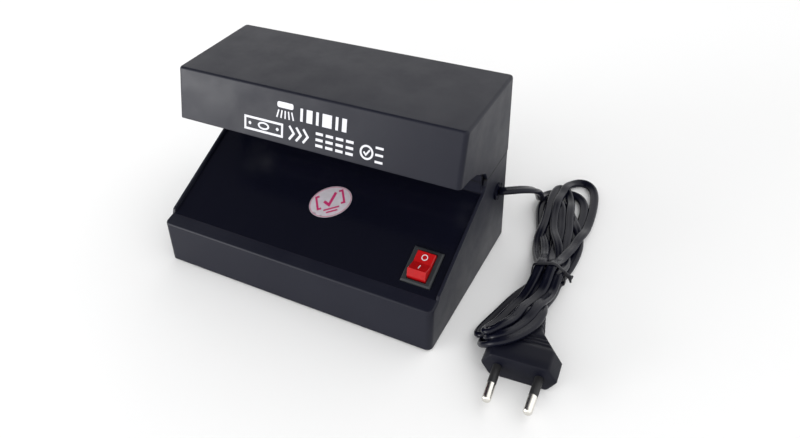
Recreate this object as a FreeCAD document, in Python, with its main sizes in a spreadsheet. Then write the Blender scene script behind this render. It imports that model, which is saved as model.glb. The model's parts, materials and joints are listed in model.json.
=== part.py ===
import FreeCAD, Part
import math
import os

import Sketcher
from FreeCAD import Placement, Rotation, Vector

# Counterfeit bill detector: a black moulded base with a sloping bed, a lamp head that
# overhangs it, a rocker switch, and a flat mains lead tied in a hank.
# Frame: +X right, +Y to the rear, +Z up. The origin is the middle of the case's footprint,
# on the surface that it stands on. All lengths are in millimetres.

SIZES = {
    "body_width": 155.0,
    "body_depth": 95.0,
    "body_height": 96.2,
    "foot_height": 1.2,
    "seam_height": 55.4,
    "wall": 1.8,
    "corner_radius": 3.0,
    "edge_radius": 1.2,
    "seam_groove": 0.6,
    # base: front wall, ledge, bed and bulkhead
    "front_lean": 2.1,
    "front_height": 24.1,
    "ledge_depth": 7.4,
    "ledge_rise": 1.5,
    "bed_angle": 23.5,
    "bed_thickness": 2.0,
    "rim_height": 1.3,
    "rim_width": 1.4,
    "rim_start": 0.9,
    "bulkhead_front": 14.5,
    "bulkhead_thickness": 2.0,
    "bulkhead_top": 70.0,
    "bulkhead_side_gap": 0.3,
    "shoulder_depth": 2.1,
    "shoulder_height": 52.3,
    "notch_rear": 17.6,
    # head: leaning front and the stepped lower edge of its sides
    "head_top_front": -8.0,
    "head_lip_front": -15.6,
    "head_lip_height": 71.5,
    "head_knee_front": -5.5,
    "head_knee_height": 70.2,
    "head_bend_front": 2.8,
    "head_bend_height": 67.7,
    "head_corner_front": 15.2,
    "head_corner_height": 60.4,
    "head_bend_radius": 8.0,
    "head_corner_radius": 1.0,
    "head_edge_radius": 1.5,
    # base plate, feet, screws and the bosses they run into
    "plate_thickness": 2.0,
    "plate_gap": 0.3,
    "foot_radius": 5.0,
    "foot_across": 58.0,
    "foot_along": 34.0,
    "boss_radius": 3.5,
    "front_boss_across": 70.0,
    "front_boss_along": -40.0,
    "front_boss_length": 20.8,
    "rear_boss_across": 66.0,
    "rear_boss_along": 40.0,
    "pilot_radius": 1.5,
    "pilot_depth": 12.0,
    "screw_radius": 1.45,
    "screw_length": 10.0,
    "screw_head_radius": 2.8,
    "screw_head_height": 1.6,
    "screw_hole_radius": 1.7,
    # lamp, holders and reflector
    "lamp_along": 4.0,
    "lamp_height": 82.0,
    "lamp_radius": 8.0,
    "lamp_glass_radius": 7.7,
    "lamp_length": 136.0,
    "lamp_cap_length": 9.0,
    "lamp_pin_radius": 1.2,
    "lamp_pin_length": 6.6,
    "lamp_pin_spacing": 4.75,
    "holder_gap": 0.4,
    "holder_thickness": 7.1,
    "holder_depth": 18.0,
    "holder_height": 21.0,
    "holder_cup_radius": 4.4,
    "holder_cup_depth": 6.5,
    "holder_slot_width": 3.2,
    "reflector_radius": 10.6,
    "reflector_thickness": 0.4,
    "reflector_width": 132.0,
    "reflector_tail_height": 68.0,
    # ballast
    "board_width": 62.0,
    "board_depth": 24.0,
    "board_thickness": 1.6,
    "board_height": 14.0,
    "board_along": 31.0,
    "post_across": 26.0,
    "post_radius": 3.0,
    "board_pilot_radius": 1.3,
    "board_pilot_depth": 8.5,
    "board_hole_radius": 1.5,
    "board_screw_radius": 1.25,
    "board_screw_length": 8.5,
    "board_screw_head_radius": 2.4,
    "board_screw_head_height": 1.6,
    "core_across": 9.0,
    "core_width": 16.0,
    "core_depth": 5.0,
    "core_height": 13.0,
    "core_window_width": 3.6,
    "core_window_height": 8.6,
    "core_window_inset": 2.2,
    "coil_width": 11.2,
    "coil_depth": 11.0,
    "coil_height": 8.2,
    "coil_hole_width": 4.6,
    "coil_hole_depth": 5.2,
    "can_across": -9.0,
    "can_spacing": 11.0,
    "can_radius": 4.0,
    "can_height": 12.5,
    "transistor_across": 19.0,
    "transistor_spacing": 12.0,
    "transistor_width": 8.0,
    "transistor_depth": 3.0,
    "transistor_height": 10.5,
    "resistor_across": -21.0,
    "resistor_spacing": 3.5,
    "resistor_along": 20.5,
    "resistor_radius": 1.2,
    "resistor_length": 6.5,
    "wire_radius": 0.7,
    # rocker switch, in the bed's own directions
    "switch_across": 64.0,
    "switch_up_bed": 12.7,
    "bezel_width": 15.0,
    "bezel_length": 18.4,
    "bezel_thickness": 1.6,
    "bezel_bevel": 0.7,
    "window_width": 10.0,
    "window_length": 15.2,
    "switch_body_width": 12.9,
    "switch_body_length": 16.4,
    "switch_body_depth": 11.0,
    "switch_floor": 5.0,
    "cutout_width": 13.2,
    "cutout_length": 16.7,
    "pivot_drop": 0.4,
    "pivot_radius": 1.2,
    "pivot_hole_radius": 1.25,
    "pivot_length": 12.2,
    "rocker_width": 9.4,
    "rocker_tilt": 16.0,
    "rocker_crest": 5.6,
    "rocker_crest_height": 5.0,
    "rocker_valley_height": 3.4,
    "rocker_reach": 7.2,
    "rocker_reach_height": 1.0,
    "rocker_edge_radius": 0.5,
    "rocker_skirt_inset": 0.4,
    "rocker_skirt_depth": 1.8,
    "rocker_keel": 4.6,
    "rocker_keel_depth": 3.6,
    "blade_width": 4.8,
    "blade_thickness": 0.8,
    "blade_length": 8.0,
    "blade_spacing": 7.0,
    # sticker
    "sticker_across": 4.7,
    "sticker_up_bed": 31.3,
    "sticker_long_radius": 11.3,
    "sticker_short_radius": 8.7,
    "sticker_thickness": 0.15,
    "sticker_turn": 34.0,
    # mains lead, hank and plug
    "cord_width": 5.0,
    "cord_thickness": 3.0,
    "cord_exit_along": 32.5,
    "cord_exit_height": 38.5,
    "bushing_radius": 4.0,
    "bushing_flange_radius": 4.6,
    "bushing_flange": 1.2,
    "bushing_length": 7.0,
    "cord_inside_length": 8.0,
    "hank_height": 12.0,
    "hank_over_plug_height": 19.0,
    "waist_left": 105.5,
    "waist_width": 14.0,
    "waist_front": 13.0,
    "waist_length": 13.0,
    "waist_height": 12.7,
    "tie_along": 18.0,
    "tie_width": 1.8,
    "tie_thickness": 1.2,
    "tie_tail_length": 6.0,
    "plug_across": 118.6,
    "plug_along": -46.0,
    "plug_turn": 4.5,
    "plug_width": 34.0,
    "plug_flat_width": 25.5,
    "plug_thickness": 13.7,
    "plug_block_length": 11.0,
    "plug_taper_length": 12.0,
    "plug_shoulder_width": 13.0,
    "plug_shoulder_height": 9.0,
    "plug_neck_length": 13.0,
    "plug_neck_width": 8.0,
    "plug_neck_height": 6.4,
    "pin_radius": 2.0,
    "pin_length": 19.0,
    "pin_nose_radius": 1.3,
    "pin_sleeve_length": 10.0,
    "pin_sleeve_wall": 0.35,
    "pin_root_spacing": 18.6,
    "pin_tip_spacing": 17.5,
}

doc = FreeCAD.newDocument("BillDetector")
sheet = doc.addObject("Spreadsheet::Sheet", "Sizes")
for row, (name, value) in enumerate(SIZES.items(), start=1):
    sheet.set("A%d" % row, name)
    sheet.set("B%d" % row, str(value))
    sheet.setAlias("B%d" % row, name)
doc.recompute()

NODES = []


def size(name):
    """A driving dimension, read from the sheet."""
    return float(sheet.get(name))


def node(thing, label):
    """Gives a finished sub-part its name and lists it for export."""
    thing.Label = label
    NODES.append(thing)
    return thing


def place(thing, base, rotation=None):
    """Places an object: three expressions for its base, and a fixed rotation."""
    thing.Placement = Placement(Vector(0, 0, 0), rotation or Rotation())
    for axis, expression in zip("xyz", base):
        thing.setExpression("Placement.Base.%s" % axis, expression)
    return thing


# ---------------------------------------------------------------- PartDesign helpers

def new_body(name):
    return doc.addObject("PartDesign::Body", name)


def new_sketch(body, name, role, lift=None):
    """A sketch on one of the body's origin planes, lifted along its normal."""
    sketch = body.newObject("Sketcher::SketchObject", name)
    plane = [item for item in body.Origin.OriginFeatures if item.Role == role][0]
    sketch.AttachmentSupport = [(plane, "")]
    sketch.MapMode = "FlatFace"
    if lift:
        sketch.setExpression("AttachmentOffset.Base.z", lift)
    return sketch


def hold_point(sketch, geometry, point, across, up):
    """Ties a sketch point to the sketch's origin with two driven distances."""
    for kind, expression in (("DistanceX", across), ("DistanceY", up)):
        value = float(sketch.evalExpression(expression))
        index = sketch.addConstraint(Sketcher.Constraint(kind, -1, 1, geometry, point, value))
        sketch.setExpression("Constraints[%d]" % index, expression)


def polygon(body, name, role, corners, lift=None):
    """A closed outline of straight lines; each corner is a pair of expressions."""
    sketch = new_sketch(body, name, role, lift)
    points = [Vector(*[float(sketch.evalExpression(text)) for text in corner]) for corner in corners]
    count = len(points)
    for index in range(count):
        sketch.addGeometry(Part.LineSegment(points[index], points[(index + 1) % count]))
    for index in range(count):
        sketch.addConstraint(Sketcher.Constraint("Coincident", index, 2, (index + 1) % count, 1))
    for index, corner in enumerate(corners):
        hold_point(sketch, index, 1, corner[0], corner[1])
    return sketch


def circles(body, name, role, centres, radius, lift=None):
    """Equal circles; each centre is a pair of expressions."""
    sketch = new_sketch(body, name, role, lift)
    radius_value = float(sketch.evalExpression(radius))
    for index, centre in enumerate(centres):
        middle = Vector(*[float(sketch.evalExpression(text)) for text in centre])
        sketch.addGeometry(Part.Circle(middle, Vector(0, 0, 1), radius_value))
        hold_point(sketch, index, 3, centre[0], centre[1])
        held = sketch.addConstraint(Sketcher.Constraint("Radius", index, radius_value))
        sketch.setExpression("Constraints[%d]" % held, radius)
    return sketch


def extrude(body, kind, name, sketch, length, side="One side", reverse=False):
    """A Pad or a Pocket; stops the build if it doesn't change the body's volume."""
    before = body.Shape.Volume if body.Tip else 0.0
    feature = body.newObject("PartDesign::%s" % kind, name)
    feature.Profile = sketch
    feature.SideType = side
    feature.Reversed = reverse
    feature.setExpression("Length", length)
    doc.recompute()
    change = body.Shape.Volume - before
    if change * (1 if kind == "Pad" else -1) < 0.5:
        raise ValueError("%s changes the volume by %.2f" % (name, change))
    return feature


def dress(body, kind, name, base, chosen, amount):
    """A Fillet or Chamfer on the edges that the test picks."""
    names = []
    for index, edge in enumerate(base.Shape.Edges, start=1):
        if chosen(edge.BoundBox):
            names.append("Edge%d" % index)
    if not names:
        raise ValueError("%s finds no edge" % name)
    feature = body.newObject("PartDesign::%s" % kind, name)
    feature.Base = (base, names)
    feature.setExpression("Size" if kind == "Chamfer" else "Radius", amount)
    doc.recompute()
    return feature


def near(value, target, slack=0.05):
    return abs(value - target) < slack


def along_x(box, y, z, slack=0.05):
    """True for an edge that runs along X at this y and z."""
    return (box.XLength > 20 and near(box.YMin, y, slack) and near(box.YMax, y, slack)
            and near(box.ZMin, z, slack) and near(box.ZMax, z, slack))


# ---------------------------------------------------------------- Part helpers

def cuboid(name, lengths, corner):
    box = doc.addObject("Part::Box", name)
    for side, expression in zip(("Length", "Width", "Height"), lengths):
        box.setExpression(side, expression)
    return place(box, corner)


def rod(name, radius, length, base, direction=Vector(0, 0, 1)):
    cylinder = doc.addObject("Part::Cylinder", name)
    cylinder.setExpression("Radius", radius)
    cylinder.setExpression("Height", length)
    return place(cylinder, base, Rotation(Vector(0, 0, 1), direction))


def cone(name, low_radius, high_radius, height, base):
    shape = doc.addObject("Part::Cone", name)
    shape.setExpression("Radius1", low_radius)
    shape.setExpression("Radius2", high_radius)
    shape.setExpression("Height", height)
    return place(shape, base)


def fused(name, things):
    union = doc.addObject("Part::MultiFuse", name)
    union.Shapes = things
    return union


def cut(name, base, tool):
    difference = doc.addObject("Part::Cut", name)
    difference.Base = base
    difference.Tool = tool
    return difference


def together(label, things):
    """Separate solids under one node."""
    compound = doc.addObject("Part::Compound", label)
    compound.Links = things
    return node(compound, label)


def shaped(label, shape, placement=None):
    """A sub-part whose shape comes from Part's own functions."""
    feature = doc.addObject("Part::Feature", label)
    feature.Shape = shape
    feature.Placement = placement or Placement()
    return node(feature, label)


def tube(points, radius, report=None):
    """A round tube along straight runs joined by tangent arcs."""
    corners = [Vector(*point) for point in points]
    edges = []
    radii = []
    start = corners[0]
    for before, corner, after in zip(corners, corners[1:], corners[2:]):
        back = (before - corner).normalize()
        ahead = (after - corner).normalize()
        half_turn = (math.pi - back.getAngle(ahead)) / 2
        shorter = min(before.distanceToPoint(corner), after.distanceToPoint(corner))
        setback = 0.45 * shorter
        bend = setback / math.tan(half_turn)
        radii.append(bend)
        middle = (back + ahead).normalize()
        mid_point = corner + middle * (bend / math.cos(half_turn) - bend)
        arc_start = corner + back * setback
        arc_end = corner + ahead * setback
        edges.append(Part.LineSegment(start, arc_start).toShape())
        edges.append(Part.Arc(arc_start, mid_point, arc_end).toShape())
        start = arc_end
    edges.append(Part.LineSegment(start, corners[-1]).toShape())
    path = Part.Wire(edges)
    heading = (corners[1] - corners[0]).normalize()
    profile = Part.Wire([Part.Circle(corners[0], heading, radius).toShape()])
    solid = path.makePipeShell([profile], True, False)
    expected = math.pi * radius ** 2 * path.Length
    if not near(solid.Volume, expected, 0.02 * expected):
        raise ValueError("tube volume %.1f, expected %.1f" % (solid.Volume, expected))
    if report:
        print(report, "length %.1f mm, bend radii" % path.Length, [round(bend, 1) for bend in radii])
        print(report, "volume %.1f mm3, section times length %.1f mm3" % (solid.Volume, expected))
    return solid


# ---------------------------------------------------------------- shared places

FRONT = "(-Sizes.body_depth / 2)"
REAR = "(Sizes.body_depth / 2)"
KINK_Y = "(%s + Sizes.front_lean + Sizes.ledge_depth)" % FRONT
KINK_Z = "(Sizes.front_height + Sizes.ledge_rise)"
PLATE_TOP = "(Sizes.foot_height + Sizes.plate_thickness)"
INNER_TOP = "(Sizes.body_height - Sizes.wall)"


def bed_height(y, lift="0"):
    """Height of the bed's plane at y, lifted at right angles to the bed."""
    return "(%s + (%s - %s) * tan(Sizes.bed_angle) + (%s) / cos(Sizes.bed_angle))" % (
        KINK_Z, y, KINK_Y, lift)


def on_bed(up_bed, lift="0"):
    """Y and Z of a point up the bed from its front edge and lifted off it."""
    y = "(%s + (%s) * cos(Sizes.bed_angle) - (%s) * sin(Sizes.bed_angle))" % (KINK_Y, up_bed, lift)
    z = "(%s + (%s) * sin(Sizes.bed_angle) + (%s) * cos(Sizes.bed_angle))" % (KINK_Z, up_bed, lift)
    return y, z


def bed_point(across, up_bed, lift=0.0):
    """The same point as numbers."""
    angle = math.radians(size("bed_angle"))
    kink_y = -size("body_depth") / 2 + size("front_lean") + size("ledge_depth")
    kink_z = size("front_height") + size("ledge_rise")
    return Vector(across,
                  kink_y + up_bed * math.cos(angle) - lift * math.sin(angle),
                  kink_z + up_bed * math.sin(angle) + lift * math.cos(angle))


def sit_on_bed(thing, across, up_bed, lift="0"):
    """Lays an object made flat on XY onto the bed."""
    thing.Placement = Placement(Vector(0, 0, 0), Rotation(Vector(1, 0, 0), 1))
    y, z = on_bed(up_bed, lift)
    for axis, expression in (("x", across), ("y", y), ("z", z)):
        thing.setExpression("Placement.Base.%s" % axis, expression)
    thing.setExpression("Placement.Rotation.Angle", "Sizes.bed_angle")
    return thing


# ---------------------------------------------------------------- base shell

def make_base_shell():
    body = new_body("base_shell")
    shoulder_y = "(Sizes.bulkhead_front + Sizes.shoulder_depth)"
    rim_front = "(%s + Sizes.rim_start)" % KINK_Y
    side = polygon(body, "base_side", "YZ_Plane", [
        (FRONT, "Sizes.foot_height"),
        (FRONT + " + Sizes.front_lean", "Sizes.front_height"),
        (KINK_Y, KINK_Z),
        (rim_front, bed_height(rim_front, "Sizes.rim_height")),
        ("Sizes.bulkhead_front - 0.5", bed_height("(Sizes.bulkhead_front - 0.5)", "Sizes.rim_height")),
        (shoulder_y, "Sizes.shoulder_height"),
        ("Sizes.notch_rear", "Sizes.seam_height"),
        (REAR, "Sizes.seam_height"),
        (REAR, "Sizes.foot_height"),
    ])
    block = extrude(body, "Pad", "base_block", side, "Sizes.body_width", "Symmetric")
    half_width = size("body_width") / 2
    front_height = size("front_height")
    front = -size("body_depth") / 2

    def upright(box):
        at_side = near(box.XMin, box.XMax) and near(abs(box.XMin), half_width)
        at_front = near(box.YMin, front) and near(box.ZMax, front_height)
        at_rear = near(box.YMin, -front) and near(box.YMax, -front)
        return at_side and (at_front or at_rear)

    corners = dress(body, "Fillet", "base_corners", block, upright, "Sizes.corner_radius")

    def front_edge(box):
        return along_x(box, front + size("front_lean"), front_height)

    edge = dress(body, "Fillet", "base_front_edge", corners, front_edge, "Sizes.edge_radius")

    def seam_edge(box):
        return near(box.ZMin, size("seam_height")) and near(box.ZMax, size("seam_height")) and (
            box.YMin > size("notch_rear") - 1 and box.YLength > 1 or near(box.YMin, -front))

    body.Tip = dress(body, "Chamfer", "base_seam", edge, seam_edge, "Sizes.seam_groove")

    above = "(Sizes.seam_height + 5)"
    recess = polygon(body, "bed_recess_side", "YZ_Plane", [
        (KINK_Y, KINK_Z),
        ("Sizes.bulkhead_front", bed_height("Sizes.bulkhead_front")),
        ("Sizes.bulkhead_front", above),
        (KINK_Y, above),
    ])
    extrude(body, "Pocket", "bed_recess", recess, "Sizes.body_width - 2 * Sizes.rim_width", "Symmetric")

    below = "(Sizes.foot_height - 1)"
    bulkhead_rear = "(Sizes.bulkhead_front + Sizes.bulkhead_thickness)"
    inside = polygon(body, "base_inside_side", "YZ_Plane", [
        (FRONT + " + Sizes.wall", below),
        (FRONT + " + Sizes.wall + Sizes.front_lean", "Sizes.front_height - Sizes.bed_thickness"),
        (KINK_Y, bed_height(KINK_Y, "-Sizes.bed_thickness")),
        (bulkhead_rear, bed_height(bulkhead_rear, "-Sizes.bed_thickness")),
        (bulkhead_rear, above),
        (REAR + " - Sizes.wall", above),
        (REAR + " - Sizes.wall", below),
    ])
    extrude(body, "Pocket", "base_inside", inside, "Sizes.body_width - 2 * Sizes.wall", "Symmetric")

    tongue = polygon(body, "bulkhead_side", "YZ_Plane", [
        ("Sizes.bulkhead_front", bed_height("Sizes.bulkhead_front", "-0.5")),
        (bulkhead_rear, bed_height(bulkhead_rear, "-0.5")),
        (bulkhead_rear, "Sizes.bulkhead_top"),
        ("Sizes.bulkhead_front", "Sizes.bulkhead_top"),
    ])
    extrude(body, "Pad", "bulkhead", tongue,
            "Sizes.body_width - 2 * (Sizes.wall + Sizes.bulkhead_side_gap)", "Symmetric")

    half = "Sizes.cutout_length / 2"
    ends = []
    for along, lift in (("-", "-5"), ("+", "-5"), ("+", "4"), ("-", "4")):
        ends.append(on_bed("Sizes.switch_up_bed %s %s" % (along, half), lift))
    window = polygon(body, "switch_cutout_side", "YZ_Plane", ends, "Sizes.switch_across")
    extrude(body, "Pocket", "switch_cutout", window, "Sizes.cutout_width", "Symmetric")

    hole = circles(body, "cord_hole_outline", "YZ_Plane",
                   [("Sizes.cord_exit_along", "Sizes.cord_exit_height")],
                   "Sizes.bushing_radius", "Sizes.body_width / 2 + 1")
    extrude(body, "Pocket", "cord_hole", hole, "Sizes.wall + 2")

    places = [("%s * Sizes.front_boss_across" % sign, "Sizes.front_boss_along") for sign in ("-1", "1")]
    posts = circles(body, "front_boss_outline", "XY_Plane", places, "Sizes.boss_radius", PLATE_TOP)
    extrude(body, "Pad", "front_bosses", posts, "Sizes.front_boss_length")
    bores = circles(body, "front_pilot_outline", "XY_Plane", places, "Sizes.pilot_radius", PLATE_TOP)
    extrude(body, "Pocket", "front_pilots", bores, "Sizes.pilot_depth", reverse=True)
    return node(body, "base_shell")


# ---------------------------------------------------------------- head shell

def make_head_shell():
    body = new_body("head_shell")
    side = polygon(body, "head_side", "YZ_Plane", [
        ("Sizes.head_lip_front", "Sizes.head_lip_height"),
        ("Sizes.head_top_front", "Sizes.body_height"),
        (REAR, "Sizes.body_height"),
        (REAR, "Sizes.seam_height"),
        ("Sizes.notch_rear + 0.2", "Sizes.seam_height"),
        ("Sizes.head_corner_front", "Sizes.head_corner_height"),
        ("Sizes.head_bend_front", "Sizes.head_bend_height"),
        ("Sizes.head_knee_front", "Sizes.head_knee_height"),
    ])
    block = extrude(body, "Pad", "head_block", side, "Sizes.body_width", "Symmetric")
    half_width = size("body_width") / 2
    rear = size("body_depth") / 2
    top = size("body_height")

    def upright(box):
        at_side = near(box.XMin, box.XMax) and near(abs(box.XMin), half_width)
        at_front = near(box.YMin, size("head_lip_front")) and near(box.ZMax, top)
        at_rear = near(box.YMin, rear) and near(box.YMax, rear)
        return at_side and (at_front or at_rear)

    corners = dress(body, "Fillet", "head_corners", block, upright, "Sizes.corner_radius * 0.7")

    def brow(box):
        return along_x(box, size("head_top_front"), top)

    edge = dress(body, "Fillet", "head_top_edges", corners, brow, "Sizes.head_edge_radius")

    def bends(box):
        return (along_x(box, size("head_knee_front"), size("head_knee_height"))
                or along_x(box, size("head_bend_front"), size("head_bend_height")))

    curved = dress(body, "Fillet", "head_side_bends", edge, bends, "Sizes.head_bend_radius")

    def notch_corner(box):
        return along_x(box, size("head_corner_front"), size("head_corner_height"))

    body.Tip = dress(body, "Fillet", "head_notch", curved, notch_corner, "Sizes.head_corner_radius")

    lean = "((Sizes.head_top_front - Sizes.head_lip_front) / (Sizes.body_height - Sizes.head_lip_height))"
    inner_slope = "(Sizes.head_lip_front + Sizes.wall * sqrt(1 + %s ^ 2))" % lean
    low = "(Sizes.seam_height - 5)"
    inside = polygon(body, "head_inside_side", "YZ_Plane", [
        ("%s + (%s - Sizes.head_lip_height) * %s" % (inner_slope, low, lean), low),
        ("%s + (%s - Sizes.head_lip_height) * %s" % (inner_slope, INNER_TOP, lean), INNER_TOP),
        (REAR + " - Sizes.wall", INNER_TOP),
        (REAR + " - Sizes.wall", low),
    ])
    extrude(body, "Pocket", "head_inside", inside, "Sizes.body_width - 2 * Sizes.wall", "Symmetric")

    places = [("%s * Sizes.rear_boss_across" % sign, "Sizes.rear_boss_along") for sign in ("-1", "1")]
    posts = circles(body, "rear_post_outline", "XY_Plane", places, "Sizes.boss_radius", PLATE_TOP)
    extrude(body, "Pad", "rear_posts", posts, "%s - %s + 0.5" % (INNER_TOP, PLATE_TOP))
    bores = circles(body, "rear_pilot_outline", "XY_Plane", places, "Sizes.pilot_radius", PLATE_TOP)
    extrude(body, "Pocket", "rear_pilots", bores, "Sizes.pilot_depth", reverse=True)
    return node(body, "head_shell")


# ---------------------------------------------------------------- plate, feet and screws

SCREW_PLACES = []
for screw_sign in ("-1", "1"):
    SCREW_PLACES.append(("%s * Sizes.front_boss_across" % screw_sign, "Sizes.front_boss_along"))
    SCREW_PLACES.append(("%s * Sizes.rear_boss_across" % screw_sign, "Sizes.rear_boss_along"))

POST_PLACES = [("%s * Sizes.post_across" % sign, "Sizes.board_along") for sign in ("-1", "1")]


def make_base_plate():
    inset = "(Sizes.wall + Sizes.plate_gap)"
    blank = cuboid("plate_blank",
                   ("Sizes.body_width - 2 * " + inset, "Sizes.body_depth - 2 * " + inset,
                    "Sizes.plate_thickness"),
                   ("-Sizes.body_width / 2 + " + inset, FRONT + " + " + inset, "Sizes.foot_height"))
    post_height = "Sizes.board_height - %s" % PLATE_TOP
    solids = [blank]
    holes = []
    for index, (x, y) in enumerate(POST_PLACES):
        solids.append(rod("board_post_%d" % index, "Sizes.post_radius", post_height + " + 0.5",
                          (x, y, PLATE_TOP + " - 0.5")))
        holes.append(rod("board_pilot_%d" % index, "Sizes.board_pilot_radius",
                         "Sizes.board_pilot_depth + 0.5",
                         (x, y, "Sizes.board_height - Sizes.board_pilot_depth")))
    for index, (x, y) in enumerate(SCREW_PLACES):
        holes.append(rod("plate_hole_%d" % index, "Sizes.screw_hole_radius", "5", (x, y, "0")))
        holes.append(cone("plate_sink_%d" % index, "Sizes.screw_head_radius + 0.15",
                          "Sizes.screw_radius + 0.15", "Sizes.screw_head_height",
                          (x, y, "Sizes.foot_height")))
    return node(cut("base_plate", fused("plate_solid", solids), fused("plate_holes", holes)), "base_plate")


def make_rubber_feet():
    feet = []
    for x in ("-Sizes.foot_across", "Sizes.foot_across"):
        for y in ("-Sizes.foot_along", "Sizes.foot_along"):
            feet.append(rod("foot_%d" % len(feet), "Sizes.foot_radius", "Sizes.foot_height", (x, y, "0")))
    return together("rubber_feet", feet)


def make_case_screws():
    screws = []
    for index, (x, y) in enumerate(SCREW_PLACES):
        head = cone("case_screw_head_%d" % index, "Sizes.screw_head_radius", "Sizes.screw_radius",
                    "Sizes.screw_head_height", (x, y, "Sizes.foot_height"))
        shank = rod("case_screw_shank_%d" % index, "Sizes.screw_radius", "Sizes.screw_length",
                    (x, y, "Sizes.foot_height + Sizes.screw_head_height"))
        screws.append(fused("case_screw_%d" % index, [head, shank]))
    return together("case_screws", screws)


# ---------------------------------------------------------------- lamp

LAMP_AXIS = ("Sizes.lamp_along", "Sizes.lamp_height")


def make_lamp():
    half = "(Sizes.lamp_length / 2)"
    right = Vector(1, 0, 0)
    node(rod("uv_tube", "Sizes.lamp_glass_radius", "Sizes.lamp_length - 2 * Sizes.lamp_cap_length",
             ("-%s + Sizes.lamp_cap_length" % half,) + LAMP_AXIS, right), "uv_tube")
    caps = []
    pins = []
    for cap_start, pin_start in (("-" + half, "-%s - Sizes.lamp_pin_length" % half),
                                 (half + " - Sizes.lamp_cap_length", half)):
        caps.append(rod("tube_cap_%d" % len(caps), "Sizes.lamp_radius", "Sizes.lamp_cap_length",
                        (cap_start,) + LAMP_AXIS, right))
        for sign in ("-", "+"):
            pin_y = "Sizes.lamp_along %s Sizes.lamp_pin_spacing / 2" % sign
            pins.append(rod("tube_pin_%d" % len(pins), "Sizes.lamp_pin_radius", "Sizes.lamp_pin_length",
                            (pin_start, pin_y, "Sizes.lamp_height"), right))
    together("tube_caps", caps)
    together("tube_pins", pins)


def make_lamp_holder(label, side):
    """A rotary holder; side is -1 for the left end and 1 for the right."""
    face = "(Sizes.lamp_length / 2 + Sizes.holder_gap)"
    low = "Sizes.lamp_height - Sizes.holder_height / 2"
    start = face if side > 0 else "-%s - Sizes.holder_thickness" % face
    cup_start = face if side > 0 else "-%s - Sizes.holder_cup_depth" % face
    block = cuboid(label + "_block", ("Sizes.holder_thickness", "Sizes.holder_depth", "Sizes.holder_height"),
                   (start, "Sizes.lamp_along - Sizes.holder_depth / 2", low))
    cup = rod(label + "_cup", "Sizes.holder_cup_radius", "Sizes.holder_cup_depth",
              (cup_start,) + LAMP_AXIS, Vector(1, 0, 0))
    slot = cuboid(label + "_slot", ("Sizes.holder_cup_depth", "Sizes.holder_slot_width",
                                    "Sizes.holder_height / 2 + 1"),
                  (cup_start, "Sizes.lamp_along - Sizes.holder_slot_width / 2", low + " - 1"))
    return node(cut(label, block, fused(label + "_hollow", [cup, slot])), label)


def make_reflector():
    """A bent sheet: an arc behind the lamp and a tail that rests on the bulkhead."""
    centre_y = size("lamp_along")
    centre_z = size("lamp_height")
    thickness = size("reflector_thickness")
    width = size("reflector_width")

    def on_arc(radius, degrees):
        angle = math.radians(degrees)
        return Vector(-width / 2, centre_y + radius * math.cos(angle), centre_z + radius * math.sin(angle))

    front_angle = 118.0
    rear_angle = -20.0
    middle_angle = (front_angle + rear_angle) / 2
    inner = size("reflector_radius")
    outer = inner + thickness
    tail_y = size("bulkhead_front")
    tail_z = size("reflector_tail_height")
    tail_outer = Vector(-width / 2, tail_y, tail_z)
    tail_inner = Vector(-width / 2, tail_y - thickness, tail_z)
    edges = [
        Part.Arc(on_arc(outer, front_angle), on_arc(outer, middle_angle), on_arc(outer, rear_angle)),
        Part.LineSegment(on_arc(outer, rear_angle), tail_outer),
        Part.LineSegment(tail_outer, tail_inner),
        Part.LineSegment(tail_inner, on_arc(inner, rear_angle)),
        Part.Arc(on_arc(inner, rear_angle), on_arc(inner, middle_angle), on_arc(inner, front_angle)),
        Part.LineSegment(on_arc(inner, front_angle), on_arc(outer, front_angle)),
    ]
    outline = Part.Wire([edge.toShape() for edge in edges])
    return shaped("reflector", Part.Face(outline).extrude(Vector(width, 0, 0)))


# ---------------------------------------------------------------- ballast

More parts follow.
